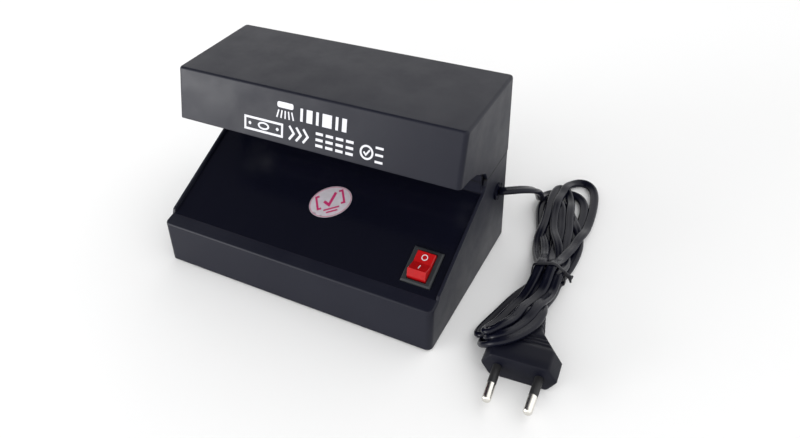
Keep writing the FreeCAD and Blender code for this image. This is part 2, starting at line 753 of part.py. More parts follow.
def make_ballast():
    top = "(Sizes.board_height + Sizes.board_thickness)"
    blank = cuboid("board_blank", ("Sizes.board_width", "Sizes.board_depth", "Sizes.board_thickness"),
                   ("-Sizes.board_width / 2", "Sizes.board_along - Sizes.board_depth / 2",
                    "Sizes.board_height"))
    holes = []
    screws = []
    for index, (x, y) in enumerate(POST_PLACES):
        holes.append(rod("board_hole_%d" % index, "Sizes.board_hole_radius",
                         "Sizes.board_thickness + 2", (x, y, "Sizes.board_height - 1")))
        shank = rod("board_screw_shank_%d" % index, "Sizes.board_screw_radius",
                    "Sizes.board_screw_length + 0.5", (x, y, top + " - Sizes.board_screw_length"))
        head = rod("board_screw_head_%d" % index, "Sizes.board_screw_head_radius",
                   "Sizes.board_screw_head_height", (x, y, top))
        screws.append(fused("board_screw_%d" % index, [shank, head]))
    node(cut("ballast_board", blank, fused("board_holes", holes)), "ballast_board")
    together("board_screws", screws)

    def centred_block(name, sides, base):
        """A block centred on the transformer in plan; base is its underside."""
        corner = ("Sizes.core_across - %s / 2" % sides[0], "Sizes.board_along - %s / 2" % sides[1], base)
        return cuboid(name, sides, corner)

    core = centred_block("core_block", ("Sizes.core_width", "Sizes.core_depth", "Sizes.core_height"), top)
    windows = []
    for offset in ("-Sizes.core_width / 2 + Sizes.core_window_inset",
                   "Sizes.core_width / 2 - Sizes.core_window_inset - Sizes.core_window_width"):
        windows.append(cuboid("core_window_%d" % len(windows),
                              ("Sizes.core_window_width", "Sizes.core_depth + 4",
                               "Sizes.core_window_height"),
                              ("Sizes.core_across + " + offset,
                               "Sizes.board_along - Sizes.core_depth / 2 - 2",
                               top + " + Sizes.core_window_inset")))
    node(cut("ballast_core", core, fused("core_windows", windows)), "ballast_core")
    coil = centred_block("coil_block", ("Sizes.coil_width", "Sizes.coil_depth", "Sizes.coil_height"),
                         top + " + Sizes.core_window_inset + 0.2")
    middle = centred_block("coil_hole", ("Sizes.coil_hole_width", "Sizes.coil_hole_depth",
                                         "Sizes.coil_height + 2"), top + " + Sizes.core_window_inset - 0.8")
    node(cut("ballast_coil", coil, middle), "ballast_coil")

    cans = []
    transistors = []
    for sign in ("-", "+"):
        can_y = "Sizes.board_along %s Sizes.can_spacing / 2" % sign
        cans.append(rod("can_%d" % len(cans), "Sizes.can_radius", "Sizes.can_height",
                        ("Sizes.can_across", can_y, top)))
        block_y = "Sizes.board_along %s Sizes.transistor_spacing / 2 - Sizes.transistor_depth / 2" % sign
        transistors.append(cuboid("transistor_%d" % len(transistors),
                                  ("Sizes.transistor_width", "Sizes.transistor_depth",
                                   "Sizes.transistor_height"),
                                  ("Sizes.transistor_across", block_y, top)))
    together("ballast_capacitors", cans)
    together("ballast_transistors", transistors)
    resistors = []
    for step in (-1, 0, 1):
        resistors.append(rod("resistor_%d" % len(resistors), "Sizes.resistor_radius",
                             "Sizes.resistor_length",
                             ("Sizes.resistor_across + %d * Sizes.resistor_spacing" % step,
                              "Sizes.resistor_along", top + " + Sizes.resistor_radius"), Vector(0, 1, 0)))
    together("ballast_resistors", resistors)


# ---------------------------------------------------------------- rocker switch

def make_switch_frame():
    body = new_body("switch_frame")
    pivot = "(-Sizes.pivot_drop)"

    def rectangle(name, width, length, lift=None):
        half_w = "(%s / 2)" % width
        half_l = "(%s / 2)" % length
        return polygon(body, name, "XY_Plane", [
            ("-" + half_w, "-" + half_l), (half_w, "-" + half_l),
            (half_w, half_l), ("-" + half_w, half_l)], lift)

    bezel_outline = rectangle("bezel_outline", "Sizes.bezel_width", "Sizes.bezel_length")
    bezel = extrude(body, "Pad", "bezel", bezel_outline, "Sizes.bezel_thickness")

    def bezel_top(box):
        return near(box.ZMin, size("bezel_thickness")) and near(box.ZMax, size("bezel_thickness"))

    body.Tip = dress(body, "Chamfer", "bezel_bevel", bezel, bezel_top, "Sizes.bezel_bevel")
    housing = rectangle("housing_outline", "Sizes.switch_body_width", "Sizes.switch_body_length")
    extrude(body, "Pad", "housing", housing, "Sizes.switch_body_depth", reverse=True)
    window = rectangle("window_outline", "Sizes.window_width", "Sizes.window_length",
                       "Sizes.bezel_thickness")
    extrude(body, "Pocket", "window", window,
            "Sizes.bezel_thickness + Sizes.switch_body_depth - Sizes.switch_floor")
    bore = circles(body, "pivot_bore_outline", "YZ_Plane", [("0.0001", pivot)], "Sizes.pivot_hole_radius")
    extrude(body, "Pocket", "pivot_bore", bore, "Sizes.pivot_length + 0.3", "Symmetric")
    sit_on_bed(body, "Sizes.switch_across", "Sizes.switch_up_bed")
    return node(body, "switch_frame")


def make_switch_rocker():
    """The rocker in its own frame, with the pivot at the origin, tipped to the off side."""
    body = new_body("switch_rocker")
    crest = ("Sizes.rocker_crest", "Sizes.rocker_crest_height")
    reach = ("Sizes.rocker_reach", "Sizes.rocker_reach_height")
    profile = polygon(body, "rocker_side", "YZ_Plane", [
        ("-" + crest[0], crest[1]),
        ("0.0001", "Sizes.rocker_valley_height"),
        crest,
        reach,
        ("Sizes.rocker_reach - Sizes.rocker_skirt_inset", "-Sizes.rocker_skirt_depth"),
        ("Sizes.rocker_keel", "-Sizes.rocker_keel_depth"),
        ("-Sizes.rocker_keel", "-Sizes.rocker_keel_depth"),
        ("-Sizes.rocker_reach + Sizes.rocker_skirt_inset", "-Sizes.rocker_skirt_depth"),
        ("-" + reach[0], reach[1]),
    ])
    block = extrude(body, "Pad", "rocker_block", profile, "Sizes.rocker_width", "Symmetric")

    def top_rim(box):
        return box.ZMin > 3.0 and near(box.XMin, box.XMax) and near(abs(box.XMin), size("rocker_width") / 2)

    body.Tip = dress(body, "Fillet", "rocker_rims", block, top_rim, "Sizes.rocker_edge_radius")
    pin = circles(body, "trunnion_outline", "YZ_Plane", [("0.0001", "0.0001")], "Sizes.pivot_radius")
    extrude(body, "Pad", "trunnions", pin, "Sizes.pivot_length", "Symmetric")
    sit_on_bed(body, "Sizes.switch_across", "Sizes.switch_up_bed", "-Sizes.pivot_drop")
    body.setExpression("Placement.Rotation.Angle", "Sizes.bed_angle - Sizes.rocker_tilt")
    return node(body, "switch_rocker")


def make_switch_terminals():
    blades = []
    for sign in ("-", "+"):
        blade = doc.addObject("Part::Box", "blade_%d" % len(blades))
        blade.setExpression("Length", "Sizes.blade_width")
        blade.setExpression("Width", "Sizes.blade_thickness")
        blade.setExpression("Height", "Sizes.blade_length")
        sit_on_bed(blade, "Sizes.switch_across - Sizes.blade_width / 2",
                   "Sizes.switch_up_bed %s Sizes.blade_spacing / 2 - Sizes.blade_thickness / 2" % sign,
                   "-Sizes.switch_body_depth - Sizes.blade_length")
        blades.append(blade)
    return together("switch_terminals", blades)


def make_sticker():
    outline = Part.Ellipse(Vector(0, 0, 0), size("sticker_long_radius"), size("sticker_short_radius"))
    face = Part.Face(Part.Wire([outline.toShape()]))
    solid = face.extrude(Vector(0, 0, size("sticker_thickness")))
    tilt = Rotation(Vector(1, 0, 0), size("bed_angle"))
    turn = Rotation(Vector(0, 0, 1), size("sticker_turn"))
    centre = bed_point(size("sticker_across"), size("sticker_up_bed"))
    return shaped("inspection_sticker", solid, Placement(centre, tilt.multiply(turn)))


# ---------------------------------------------------------------- wiring inside the case

def blade_tip(side, further=0.0):
    """End of a switch blade; side is -1 for the front one and 1 for the rear one."""
    depth = size("switch_body_depth") + size("blade_length") + further
    return bed_point(size("switch_across"), size("switch_up_bed") + side * size("blade_spacing") / 2, -depth)


def make_wires():
    """Each wire lands square on the edge of the board, so that they meet face to face."""
    radius = size("wire_radius")
    edge_x = size("board_width") / 2
    front_edge = size("board_along") - size("board_depth") / 2
    board_z = size("board_height") + size("board_thickness") / 2
    holder_rear = size("lamp_along") + size("holder_depth") / 2
    holder_x = size("lamp_length") / 2 + size("holder_gap") + size("holder_thickness") / 2
    lamp_wires = []
    for side in (-1, 1):
        for height, back, landing in ((87.0, 28.0, 27.5), (79.0, 22.0, 23.0)):
            lamp_wires.append(tube([
                (side * holder_x, holder_rear, height),
                (side * holder_x, back, height),
                (side * holder_x, back, 40.0),
                (side * 60.0, landing, 16.5),
                (side * 46.0, landing, board_z),
                (side * edge_x, landing, board_z),
            ], radius))
    shaped("lamp_wires", Part.makeCompound(lamp_wires))

    rear_blade = blade_tip(1)
    rear_exit = blade_tip(1, 4.0)
    switch_wire = tube([
        tuple(rear_blade), tuple(rear_exit), (56.0, -1.0, 6.5), (42.0, 6.0, 6.5),
        (26.0, 9.0, 9.0), (20.0, 14.0, board_z), (20.0, front_edge, board_z)], radius)
    shaped("switch_wire", switch_wire)

    front_blade = blade_tip(-1)
    front_exit = blade_tip(-1, 4.0)
    cord_y = size("cord_exit_along")
    cord_z = size("cord_exit_height")
    core_offset = size("cord_width") / 4
    inner_end = size("body_width") / 2 - size("wall") - size("cord_inside_length")
    live = tube([
        (inner_end, cord_y - core_offset, cord_z), (59.0, cord_y - core_offset, cord_z),
        (55.0, 24.0, 26.0), (62.0, 6.0, 12.0), (68.0, -10.0, 7.0),
        tuple(front_exit), tuple(front_blade)], radius)
    neutral = tube([
        (inner_end, cord_y + core_offset, cord_z), (58.0, cord_y + core_offset, cord_z),
        (49.0, cord_y + 0.8, 27.0), (40.0, cord_y, board_z), (edge_x, cord_y, board_z)], radius)
    shaped("mains_wires", Part.makeCompound([live, neutral]))


# ---------------------------------------------------------------- mains lead

def make_bushing():
    """A round bush in the side wall with a flat slot for the lead."""
    right = Vector(1, 0, 0)
    wall_face = "(Sizes.body_width / 2)"
    axis = ("Sizes.cord_exit_along", "Sizes.cord_exit_height")
    flange = rod("bushing_flange", "Sizes.bushing_flange_radius", "Sizes.bushing_flange",
                 (wall_face,) + axis, right)
    sleeve = rod("bushing_sleeve", "Sizes.bushing_radius", "Sizes.bushing_length",
                 (wall_face + " - Sizes.bushing_length",) + axis, right)
    slot = cuboid("bushing_slot", ("30", "Sizes.cord_width", "Sizes.cord_thickness"),
                  (wall_face + " - 20", "Sizes.cord_exit_along - Sizes.cord_width / 2",
                   "Sizes.cord_exit_height - Sizes.cord_thickness / 2"))
    node(cut("cord_bushing", fused("bushing_solid", [flange, sleeve]), slot), "cord_bushing")
    inner = cuboid("mains_cord_inner",
                   ("Sizes.wall + Sizes.cord_inside_length", "Sizes.cord_width", "Sizes.cord_thickness"),
                   (wall_face + " - Sizes.wall - Sizes.cord_inside_length",
                    "Sizes.cord_exit_along - Sizes.cord_width / 2",
                    "Sizes.cord_exit_height - Sizes.cord_thickness / 2"))
    node(inner, "mains_cord_inner")


# The lead's free route: out of the bush and back over the gap, then down to the hank.
LEAD_ROUTE = [
    (78.7, 32.5, 38.5),
    (84.1, 35.4, 38.8),
    (88.7, 39.8, 37.8),
    (92.0, 45.1, 35.0),
    (93.2, 50.6, 30.7),
    (92.9, 56.1, 25.6),
    (92.0, 61.5, 20.3),
    (90.9, 66.8, 15.1),
    (89.8, 72.0, 10.1),
    (88.9, 76.4, 6.2),
]

# Outlines of the hank seen from above, on each side of its waist.
HANK_REAR = [
    (105.0, 25.0), (97.0, 48.0), (89.5, 70.0), (87.0, 83.0), (91.5, 91.5), (98.0, 101.5),
    (105.5, 109.5), (113.5, 106.0), (120.5, 92.0), (123.5, 70.0), (123.5, 46.0), (120.5, 25.0),
]
HANK_FRONT = [
    (105.0, 14.5), (103.0, -5.0), (94.5, -26.0), (92.0, -36.0), (97.0, -42.5), (106.0, -43.5),
    (116.5, -34.0), (122.5, -17.0), (124.5, -2.0), (120.5, 14.5),
]


def slab(outline, height):
    """An upright slab with this outline, standing on the floor."""
    points = [Vector(x, y, 0) for x, y in outline]
    wire = Part.makePolygon(points + [points[0]])
    return Part.Face(wire).extrude(Vector(0, 0, height))


def plug_section(back, width, flat_width, height):
    """A six-sided section of the plug, this far behind its face."""
    centre_z = size("plug_thickness") / 2
    corners = [
        (-width / 2, 0), (-flat_width / 2, -height / 2), (flat_width / 2, -height / 2),
        (width / 2, 0), (flat_width / 2, height / 2), (-flat_width / 2, height / 2)]
    points = [Vector(x, back, centre_z + z) for x, z in corners]
    return Part.makePolygon(points + [points[0]])


def make_cord():
    half_width = size("cord_width") / 2
    shaped("cord_lead", tube(LEAD_ROUTE, half_width, "cord_lead"))

    turn = Rotation(Vector(0, 0, 1), size("plug_turn"))
    seat = Placement(Vector(size("plug_across"), size("plug_along"), 0), turn)
    height = size("plug_thickness")
    flat_share = size("plug_flat_width") / size("plug_width")
    shoulder = size("plug_block_length") + size("plug_taper_length")
    sections = []
    for back, width, tall in (
            (0.0, size("plug_width"), height),
            (size("plug_block_length"), size("plug_width"), height),
            (shoulder, size("plug_shoulder_width"), size("plug_shoulder_height")),
            (shoulder + size("plug_neck_length"), size("plug_neck_width"), size("plug_neck_height"))):
        sections.append(plug_section(back, width, width * flat_share, tall))
    plug = Part.makeLoft(sections, True, True)
    pins = []
    sleeves = []
    root = size("pin_root_spacing") / 2
    tip = size("pin_tip_spacing") / 2
    for side in (-1, 1):
        start = Vector(side * root, 0, height / 2)
        heading = Vector(side * (tip - root), -size("pin_length"), 0).normalize()
        pin = Part.makeCylinder(size("pin_radius"), size("pin_length"), start, heading)
        nose = max(pin.Edges, key=lambda edge: edge.BoundBox.Center.dot(heading))
        pin = pin.makeFillet(size("pin_nose_radius"), [nose])
        collar = Part.makeCylinder(size("pin_radius"), size("pin_sleeve_length"), start, heading)
        core = Part.makeCylinder(size("pin_radius") - size("pin_sleeve_wall"), size("pin_length"),
                                 start, heading)
        sleeve = collar.cut(core)
        sleeves.append(sleeve.cut(plug))
        pins.append(pin.cut(sleeve).cut(plug))
    shaped("plug_body", plug, seat)
    shaped("plug_sleeves", Part.makeCompound(sleeves), seat)
    shaped("plug_pins", Part.makeCompound(pins), seat)

    waist = Part.makeBox(size("waist_width"), size("waist_length"), size("waist_height"),
                         Vector(size("waist_left"), size("waist_front"), size("tie_thickness")))
    hank = slab(HANK_REAR, size("hank_height")).fuse(
        [slab(HANK_FRONT, size("hank_over_plug_height")), waist])
    seated_plug = plug.copy()
    seated_plug.Placement = seat
    hank = hank.cut(seated_plug).removeSplitter()
    shaped("cord_hank", hank)

    thickness = size("tie_thickness")
    corner = Vector(size("waist_left"), size("tie_along") - size("tie_width") / 2, thickness)
    inner = Part.makeBox(size("waist_width"), size("tie_width"), size("waist_height"), corner)
    outer = Part.makeBox(size("waist_width") + 2 * thickness, size("tie_width"),
                         size("waist_height") + 2 * thickness,
                         corner - Vector(thickness, 0, thickness))
    tail_start = Vector(size("waist_left") + size("waist_width") + thickness / 2, size("tie_along"),
                        size("waist_height") * 0.6)
    tail = Part.makeCylinder(thickness * 0.8, size("tie_tail_length"), tail_start, Vector(1, -0.25, -0.15))
    shaped("cord_tie", outer.cut(inner).fuse(tail).removeSplitter())


# ---------------------------------------------------------------- build, check and write

make_base_shell()
make_head_shell()
make_base_plate()
make_rubber_feet()
make_case_screws()
make_lamp()
make_lamp_holder("lamp_holder_left", -1)
make_lamp_holder("lamp_holder_right", 1)
make_reflector()
make_ballast()
make_switch_frame()
make_switch_rocker()
make_switch_terminals()
make_sticker()
make_wires()
make_bushing()
make_cord()
doc.recompute()

faults = []
for thing in doc.Objects:
    if "Invalid" in thing.State or "Error" in thing.State:
        faults.append("%s is %s" % (thing.Label, thing.State))
for thing in NODES:
    if thing.Shape.isNull() or not thing.Shape.isValid():
        faults.append("%s has no valid shape" % thing.Label)
if faults:
    raise RuntimeError("; ".join(faults))

os.makedirs("parts", exist_ok=True)
for thing in NODES:
    thing.Shape.exportStep("parts/%s.step" % thing.Label)
print(len(NODES), "parts written")
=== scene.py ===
import json
import math

import bmesh
import bpy
import numpy as np
from mathutils import Matrix, Vector


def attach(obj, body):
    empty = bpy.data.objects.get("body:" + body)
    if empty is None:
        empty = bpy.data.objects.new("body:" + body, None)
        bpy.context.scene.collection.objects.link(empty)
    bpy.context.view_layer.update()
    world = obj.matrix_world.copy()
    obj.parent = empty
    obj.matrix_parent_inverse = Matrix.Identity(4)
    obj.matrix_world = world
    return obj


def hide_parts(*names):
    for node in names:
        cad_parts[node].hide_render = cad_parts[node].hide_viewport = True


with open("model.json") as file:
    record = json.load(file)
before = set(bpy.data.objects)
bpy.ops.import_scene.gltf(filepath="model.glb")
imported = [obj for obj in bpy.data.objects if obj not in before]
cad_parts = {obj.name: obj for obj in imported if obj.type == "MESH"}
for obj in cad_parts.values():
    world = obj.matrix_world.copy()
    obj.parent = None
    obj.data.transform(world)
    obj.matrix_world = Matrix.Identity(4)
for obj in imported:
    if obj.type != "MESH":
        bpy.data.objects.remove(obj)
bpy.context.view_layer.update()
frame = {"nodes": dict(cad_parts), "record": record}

NODES = frame["nodes"]
MM = 0.001


def mm(*values):
    """A point given in millimetres, in metres."""
    return Vector(values) * MM


# ---------------------------------------------------------------- camera

def add_camera():
    """The photo's camera: turned left by yaw, down by pitch, and tipped by roll, in radians."""
    yaw, pitch, roll = 0.50490, 0.68662, -0.05232
    place = mm(165.605, -229.209, 246.179)
    ahead = Vector((-math.sin(yaw) * math.cos(pitch),
                    math.cos(yaw) * math.cos(pitch),
                    -math.sin(pitch)))
    level = Vector((math.cos(yaw), math.sin(yaw), 0.0))
    above = level.cross(ahead)
    right = level * math.cos(roll) + above * math.sin(roll)
    up = above * math.cos(roll) - level * math.sin(roll)
    data = bpy.data.cameras.new("camera")
    data.sensor_width = 36.0
    data.lens = 30.509
    data.clip_start = 0.01
    camera = bpy.data.objects.new("camera", data)
    bpy.context.scene.collection.objects.link(camera)
    turn = Matrix((right, up, -ahead)).transposed().to_4x4()
    camera.matrix_world = Matrix.Translation(place) @ turn
    bpy.context.scene.camera = camera


add_camera()


# ---------------------------------------------------------------- mesh helpers

def add_object(name, mesh):
    """A new object in the scene that holds a mesh or a curve."""
    thing = bpy.data.objects.new(name, mesh)
    bpy.context.scene.collection.objects.link(thing)
    return thing


def mesh_object(name, points, faces, smooth=True):
    """A mesh piece from points in metres; its normals are made to face outwards."""
    mesh = bpy.data.meshes.new(name)
    mesh.from_pydata([tuple(point) for point in points], [], faces)
    work = bmesh.new()
    work.from_mesh(mesh)
    bmesh.ops.recalc_face_normals(work, faces=work.faces)
    for face in work.faces:
        face.smooth = smooth
    work.to_mesh(mesh)
    work.free()
    return add_object(name, mesh)


def rings_object(name, rings, closed=False):
    """A skin over equal rings of points; its ends are capped unless the rings join up."""
    count = len(rings[0])
    points = [point for ring in rings for point in ring]
    faces = []
    steps = len(rings) if closed else len(rings) - 1
    for step in range(steps):
        near = step * count
        far = (step + 1) % len(rings) * count
        for index in range(count):
            after = (index + 1) % count
            faces.append((near + index, near + after, far + after, far + index))
    if not closed:
        faces.append(tuple(range(count)))
        faces.append(tuple(range(len(points) - count, len(points))))
    return mesh_object(name, points, faces)


# ---------------------------------------------------------------- mains lead and hank

# The tie's two edges, where the loops behind and in front of it start, in mm.
BASE_REAR = 21.0
BASE_FRONT = 15.0
# Spacing of the hank's points while it settles, in mm.
SPACING = 2.6

# The lead's free route from the bush to the hank, in metres.
LEAD_ROUTE = [
    (0.0787, 0.0325, 0.0385),
    (0.0841, 0.0354, 0.0388),
    (0.0887, 0.0398, 0.0378),
    (0.0920, 0.0451, 0.0350),
    (0.0932, 0.0506, 0.0307),
    (0.0929, 0.0561, 0.0256),
    (0.0920, 0.0615, 0.0203),
    (0.0909, 0.0668, 0.0151),
    (0.0898, 0.0720, 0.0101),
    (0.0889, 0.0764, 0.0062),
]

# Where each pass of the cord goes through the tie, from the first to the last: x and z in mm.
PASSES = [
    (112.5, 3.0), (107.9, 5.9), (112.5, 6.6), (107.9, 9.0), (117.1, 9.0), (117.1, 5.9),
    (113.2, 13.2), (107.9, 12.1), (112.3, 10.2), (107.9, 2.8), (117.1, 2.8),
]

# Loops behind the tie: tip x and y, width, bulge to the right, starting height, how blunt the
# tip is and how slim the loop is near the tie.
REAR_LOOPS = [
    (95.8, 81.0, 6.5, 3.5, 3.0, 0.6, 1.3),
    (97.8, 97.0, 7.0, -1.0, 10.0, 0.9, 1.4),
    (105.8, 107.5, 19.5, -0.5, 15.0, 0.9, 1.0),
    (91.8, 85.0, 8.0, 2.2, 1.0, 0.7, 1.6),
    (96.5, 82.0, 8.5, 6.5, 0.0, 0.7, 1.0),
]

# Loops in front of the tie, in the same terms; a bulge here goes to the left.
FRONT_LOOPS = [
    (101.5, -35.5, 9.0, -3.0, 12.0, 0.8, 1.0),
    (102.0, -40.0, 14.0, -3.5, 15.0, 0.8, 1.0),
    (99.0, -37.0, 12.0, -2.0, 18.0, 0.8, 1.0),
    (101.0, -38.5, 8.5, -2.5, 21.0, 0.8, 1.0),
    (97.5, -35.0, 8.5, -2.5, 20.0, 0.8, 1.0),
]


def leaf(start, end, base_y, loop):
    """One leaf-shaped loop from one pass through the tie, round its tip, to the next."""
    count = 40
    tip_x, tip_y, width, bulge, lift, blunt, slim = loop
    widest = (slim / (slim + blunt)) ** (slim / 2) * (blunt / (slim + blunt)) ** (blunt / 2)
    points = []
    for step in range(count + 1):
        t = math.pi * step / count
        share = (1 - math.cos(t)) / 2
        base_x = start[0] + (end[0] - start[0]) * share
        base_z = start[1] + (end[1] - start[1]) * share
        axis = np.array([tip_x - base_x, tip_y - base_y])
        along = math.sin(t)
        swing = math.copysign(abs(math.cos(t)) ** blunt, math.cos(t)) * along ** slim / widest
        across = bulge * math.sin(math.pi * along) - swing * width / 2
        right = np.array([axis[1], -axis[0]]) / np.hypot(*axis)
        place = np.array([base_x, base_y]) + axis * along + right * across
        points.append((place[0], place[1], base_z + lift * along ** 0.7))
    return points


def even_points(points, spacing):
    """Points at an even spacing along a chain of points."""
    points = np.array(points, float)
    reach = np.concatenate([[0.0], np.cumsum(np.linalg.norm(np.diff(points, axis=0), axis=1))])
    marks = np.linspace(0.0, reach[-1], max(2, round(reach[-1] / spacing) + 1))
    return np.stack([np.interp(marks, reach, points[:, axis]) for axis in range(3)], axis=1)


PLUG_PLACE = (118.6, -46.0)
PLUG_TURN = math.radians(4.5)
PLUG_HALF_HEIGHT = 6.85
# Sections of the plug behind its face: distance, width, flat width and height, in mm.
PLUG_SECTIONS = [
    (0.0, 34.0, 25.5, 13.7),
    (11.0, 34.0, 25.5, 13.7),
    (23.0, 13.0, 9.75, 9.0),
    (36.0, 8.0, 6.0, 6.4),
]


def plug_point(across, back, height):
    """A point of the plug in its own directions, in the frame's millimetres."""
    return (PLUG_PLACE[0] + across * math.cos(PLUG_TURN) - back * math.sin(PLUG_TURN),
            PLUG_PLACE[1] + across * math.sin(PLUG_TURN) + back * math.cos(PLUG_TURN),
            height)


def plug_top(points):
    """Height of the plug's top under each point, and 0 beside it."""
    dx = points[:, 0] - PLUG_PLACE[0]
    dy = points[:, 1] - PLUG_PLACE[1]
    across = np.abs(dx * math.cos(PLUG_TURN) + dy * math.sin(PLUG_TURN))
    back = -dx * math.sin(PLUG_TURN) + dy * math.cos(PLUG_TURN)
    stations = [section[0] for section in PLUG_SECTIONS]
    half = np.interp(back, stations, [section[1] / 2 for section in PLUG_SECTIONS])
    flat = np.interp(back, stations, [section[2] / 2 for section in PLUG_SECTIONS])
    tall = np.interp(back, stations, [section[3] / 2 for section in PLUG_SECTIONS])
    side = np.clip((half + 1.5 - across) / (half + 1.5 - flat), 0.0, 1.0)
    top = np.where(side > 0, PLUG_HALF_HEIGHT + tall * side, 0.0)
    return np.where((back > -1.0) & (back < stations[-1] + 1.0), top, 0.0)


def settle(points, held):
    """Lets the turns sink onto the floor, the plug and each other, as a hank laid down does."""
    rounds = 170
    sink = 0.16
    # How far apart two strands lie side by side and one on the other.
    wide, flat = 4.4, 3.05
    stretch = np.array([1.0, 1.0, wide / flat])
    # Points nearer than this along the cord don't push each other.
    neighbours = 5
    # A push moves a strand this share of the overlap, mostly upwards, and no further than this.
    share = 0.3
    give = np.array([0.22, 0.22, 1.0])
    longest_move = 0.5
    above_floor, above_plug = 2.05, 1.7
    start = points.copy()
    order = np.arange(len(points))
    apart = np.abs(order[:, None] - order[None, :]) > neighbours
    for _ in range(rounds):
        points[~held, 2] -= sink
        gap = (points[:, None, :] - points[None, :, :]) * stretch
        distance = np.sqrt((gap ** 2).sum(axis=2)) + 1e-9
        push = np.where(apart & (distance < wide), (wide - distance) / distance, 0.0)
        move = (gap * push[:, :, None]).sum(axis=1) / stretch * give * share
        move = np.clip(move, -longest_move, longest_move)
        points[~held] += move[~held]
        floor = np.maximum(above_floor, plug_top(points) + above_plug)
        points[~held, 2] = np.maximum(points[~held, 2], floor[~held])
        shift = points - start
        smooth = shift.copy()
        smooth[1:-1] = 0.5 * shift[1:-1] + 0.25 * (shift[:-2] + shift[2:])
        points[~held] = (start + smooth)[~held]
    return points


def hank_points():
    """The turns of the hank, from the end of the lead's route to the plug, in mm."""
    lead = [np.array(point) / MM for point in LEAD_ROUTE[-4:]]
    entry = [(88.4, 79.6, 4.1), (88.3, 83.4, 2.7), (89.4, 87.2, 2.3), (91.8, 90.4, 2.2),
             (95.4, 92.8, 2.2), (99.8, 94.0, 2.2), (104.4, 93.7, 2.2), (108.8, 91.4, 2.2),
             (112.0, 87.0, 2.2), (114.0, 80.5, 2.2), (114.9, 72.0, 2.3), (115.0, 63.0, 2.5),
             (114.8, 53.0, 2.7), (114.3, 42.0, 2.9), (113.4, 31.0, 3.0),
             (PASSES[0][0], BASE_REAR, PASSES[0][1])]
    parts = [lead, entry]
    for turn in range(5):
        leaves, goes = PASSES[2 * turn], PASSES[2 * turn + 1]
        parts.append(leaf(leaves, goes, BASE_FRONT, FRONT_LOOPS[turn]))
        leaves, goes = PASSES[2 * turn + 1], PASSES[2 * turn + 2]
        parts.append(leaf(leaves, goes, BASE_REAR, REAR_LOOPS[turn]))
    neck = PLUG_SECTIONS[-1][0]
    parts.append([(PASSES[-1][0], BASE_FRONT, PASSES[-1][1]), (117.4, 8.0, 3.6), (117.0, 0.0, 5.2),
                  plug_point(0, neck + 4.5, 6.5), plug_point(0, neck, PLUG_HALF_HEIGHT),
                  plug_point(0, neck - 1.5, PLUG_HALF_HEIGHT)])
    chain = np.array([point for part in parts for point in part])
    points = even_points(chain, SPACING)
    for _ in range(5):
        points[1:-1] = 0.5 * points[1:-1] + 0.25 * (points[:-2] + points[2:])
    held = (points[:, 1] > BASE_FRONT - 0.5) & (points[:, 1] < BASE_REAR + 0.5)
    lead_reach = sum(math.dist(near, far) for near, far in zip(lead, lead[1:]))
    lead_end = round(lead_reach / SPACING)
    held[:lead_end + 4] = True
    held[-8:] = True
    points = settle(points, held)
    return points[lead_end + 2:]


def make_centreline():
    """The whole cord as one smooth spline: the lead's route, then the turns of the hank."""
    turns = hank_points()
    route = [tuple(point) for point in LEAD_ROUTE]
    route += [tuple(point * MM) for point in turns[:-1:2]]
    route.append(tuple(turns[-1] * MM))
    curve = bpy.data.curves.new("cord_line", "CURVE")
    curve.dimensions = "3D"
    curve.resolution_u = 3
    spline = curve.splines.new("NURBS")
    spline.points.add(len(route) - 1)
    for point, place in zip(spline.points, route):
        point.co = (*place, 1.0)
    spline.order_u = 3
    spline.use_endpoint_u = True
    holder = add_object("cord_line", curve)
    bpy.context.view_layer.update()
    line = bpy.data.meshes.new_from_object(holder)
    path = np.array([tuple(vertex.co) for vertex in line.vertices])
    bpy.data.meshes.remove(line)
    bpy.data.objects.remove(holder)
    bpy.data.curves.remove(curve)
    keep = [0]
    for index in range(1, len(path)):
        if np.linalg.norm(path[index] - path[keep[-1]]) > 1e-5:
            keep.append(index)
    return path[keep]


def cord_outline():
    """The flat twin section: two round cores side by side with a shallow groove between."""
    count = 20
    outline = []
    for index in range(count):
        angle = 2 * math.pi * (index + 0.5) / count
        across = 2.4 * math.cos(angle)
        over = max(0.0, (abs(across) - 1.0) / 1.4)
        height = 1.45 * math.sqrt(max(0.0, 1 - over ** 2)) - 0.28 * math.exp(-(across / 0.5) ** 2)
        outline.append((across * MM, math.copysign(height, math.sin(angle)) * MM))
    return outline


def make_cord(path):
    """Sweeps the flat section along the path; it tips up on edge where the cord turns sharply."""
    outline = cord_outline()
    heading = np.gradient(path, axis=0)
    heading /= np.linalg.norm(heading, axis=1)[:, None]
    plan = np.unwrap(np.arctan2(heading[:, 1], heading[:, 0]))
    steps = np.linalg.norm(np.diff(path, axis=0), axis=1)
    reach = np.concatenate([[0.0], np.cumsum(steps)])
    bend = np.gradient(plan, reach)
    kernel = np.hanning(31)
    kernel /= kernel.sum()
    bend = np.convolve(bend, kernel, "same")
    steepest_tip = np.radians(52.0)
    tip = steepest_tip * np.tanh(bend * 0.0045)
    # The free lead and the end in the plug stay flat.
    tip *= np.clip((reach - 0.055) / 0.02, 0.0, 1.0)
    tip *= np.clip((reach[-1] - reach) / 0.015, 0.0, 1.0)
    rings = []
    side_before = None
    for place, ahead, angle in zip(path, heading, tip):
        side = Vector(ahead).cross(Vector((0, 0, 1)))
        if side.length < 0.15 and side_before:
            side = side_before.copy()
        side.normalize()
        side_before = side.copy()
        up = side.cross(Vector(ahead)).normalized()
        across = side * math.cos(angle) + up * math.sin(angle)
        over = up * math.cos(angle) - side * math.sin(angle)
        rings.append([Vector(place) + across * x + over * y for x, y in outline])
    return rings_object("mains_cord", rings)


CORD_PATH = make_centreline()
CORD = make_cord(CORD_PATH)


# ---------------------------------------------------------------- faces that carry looks and marks

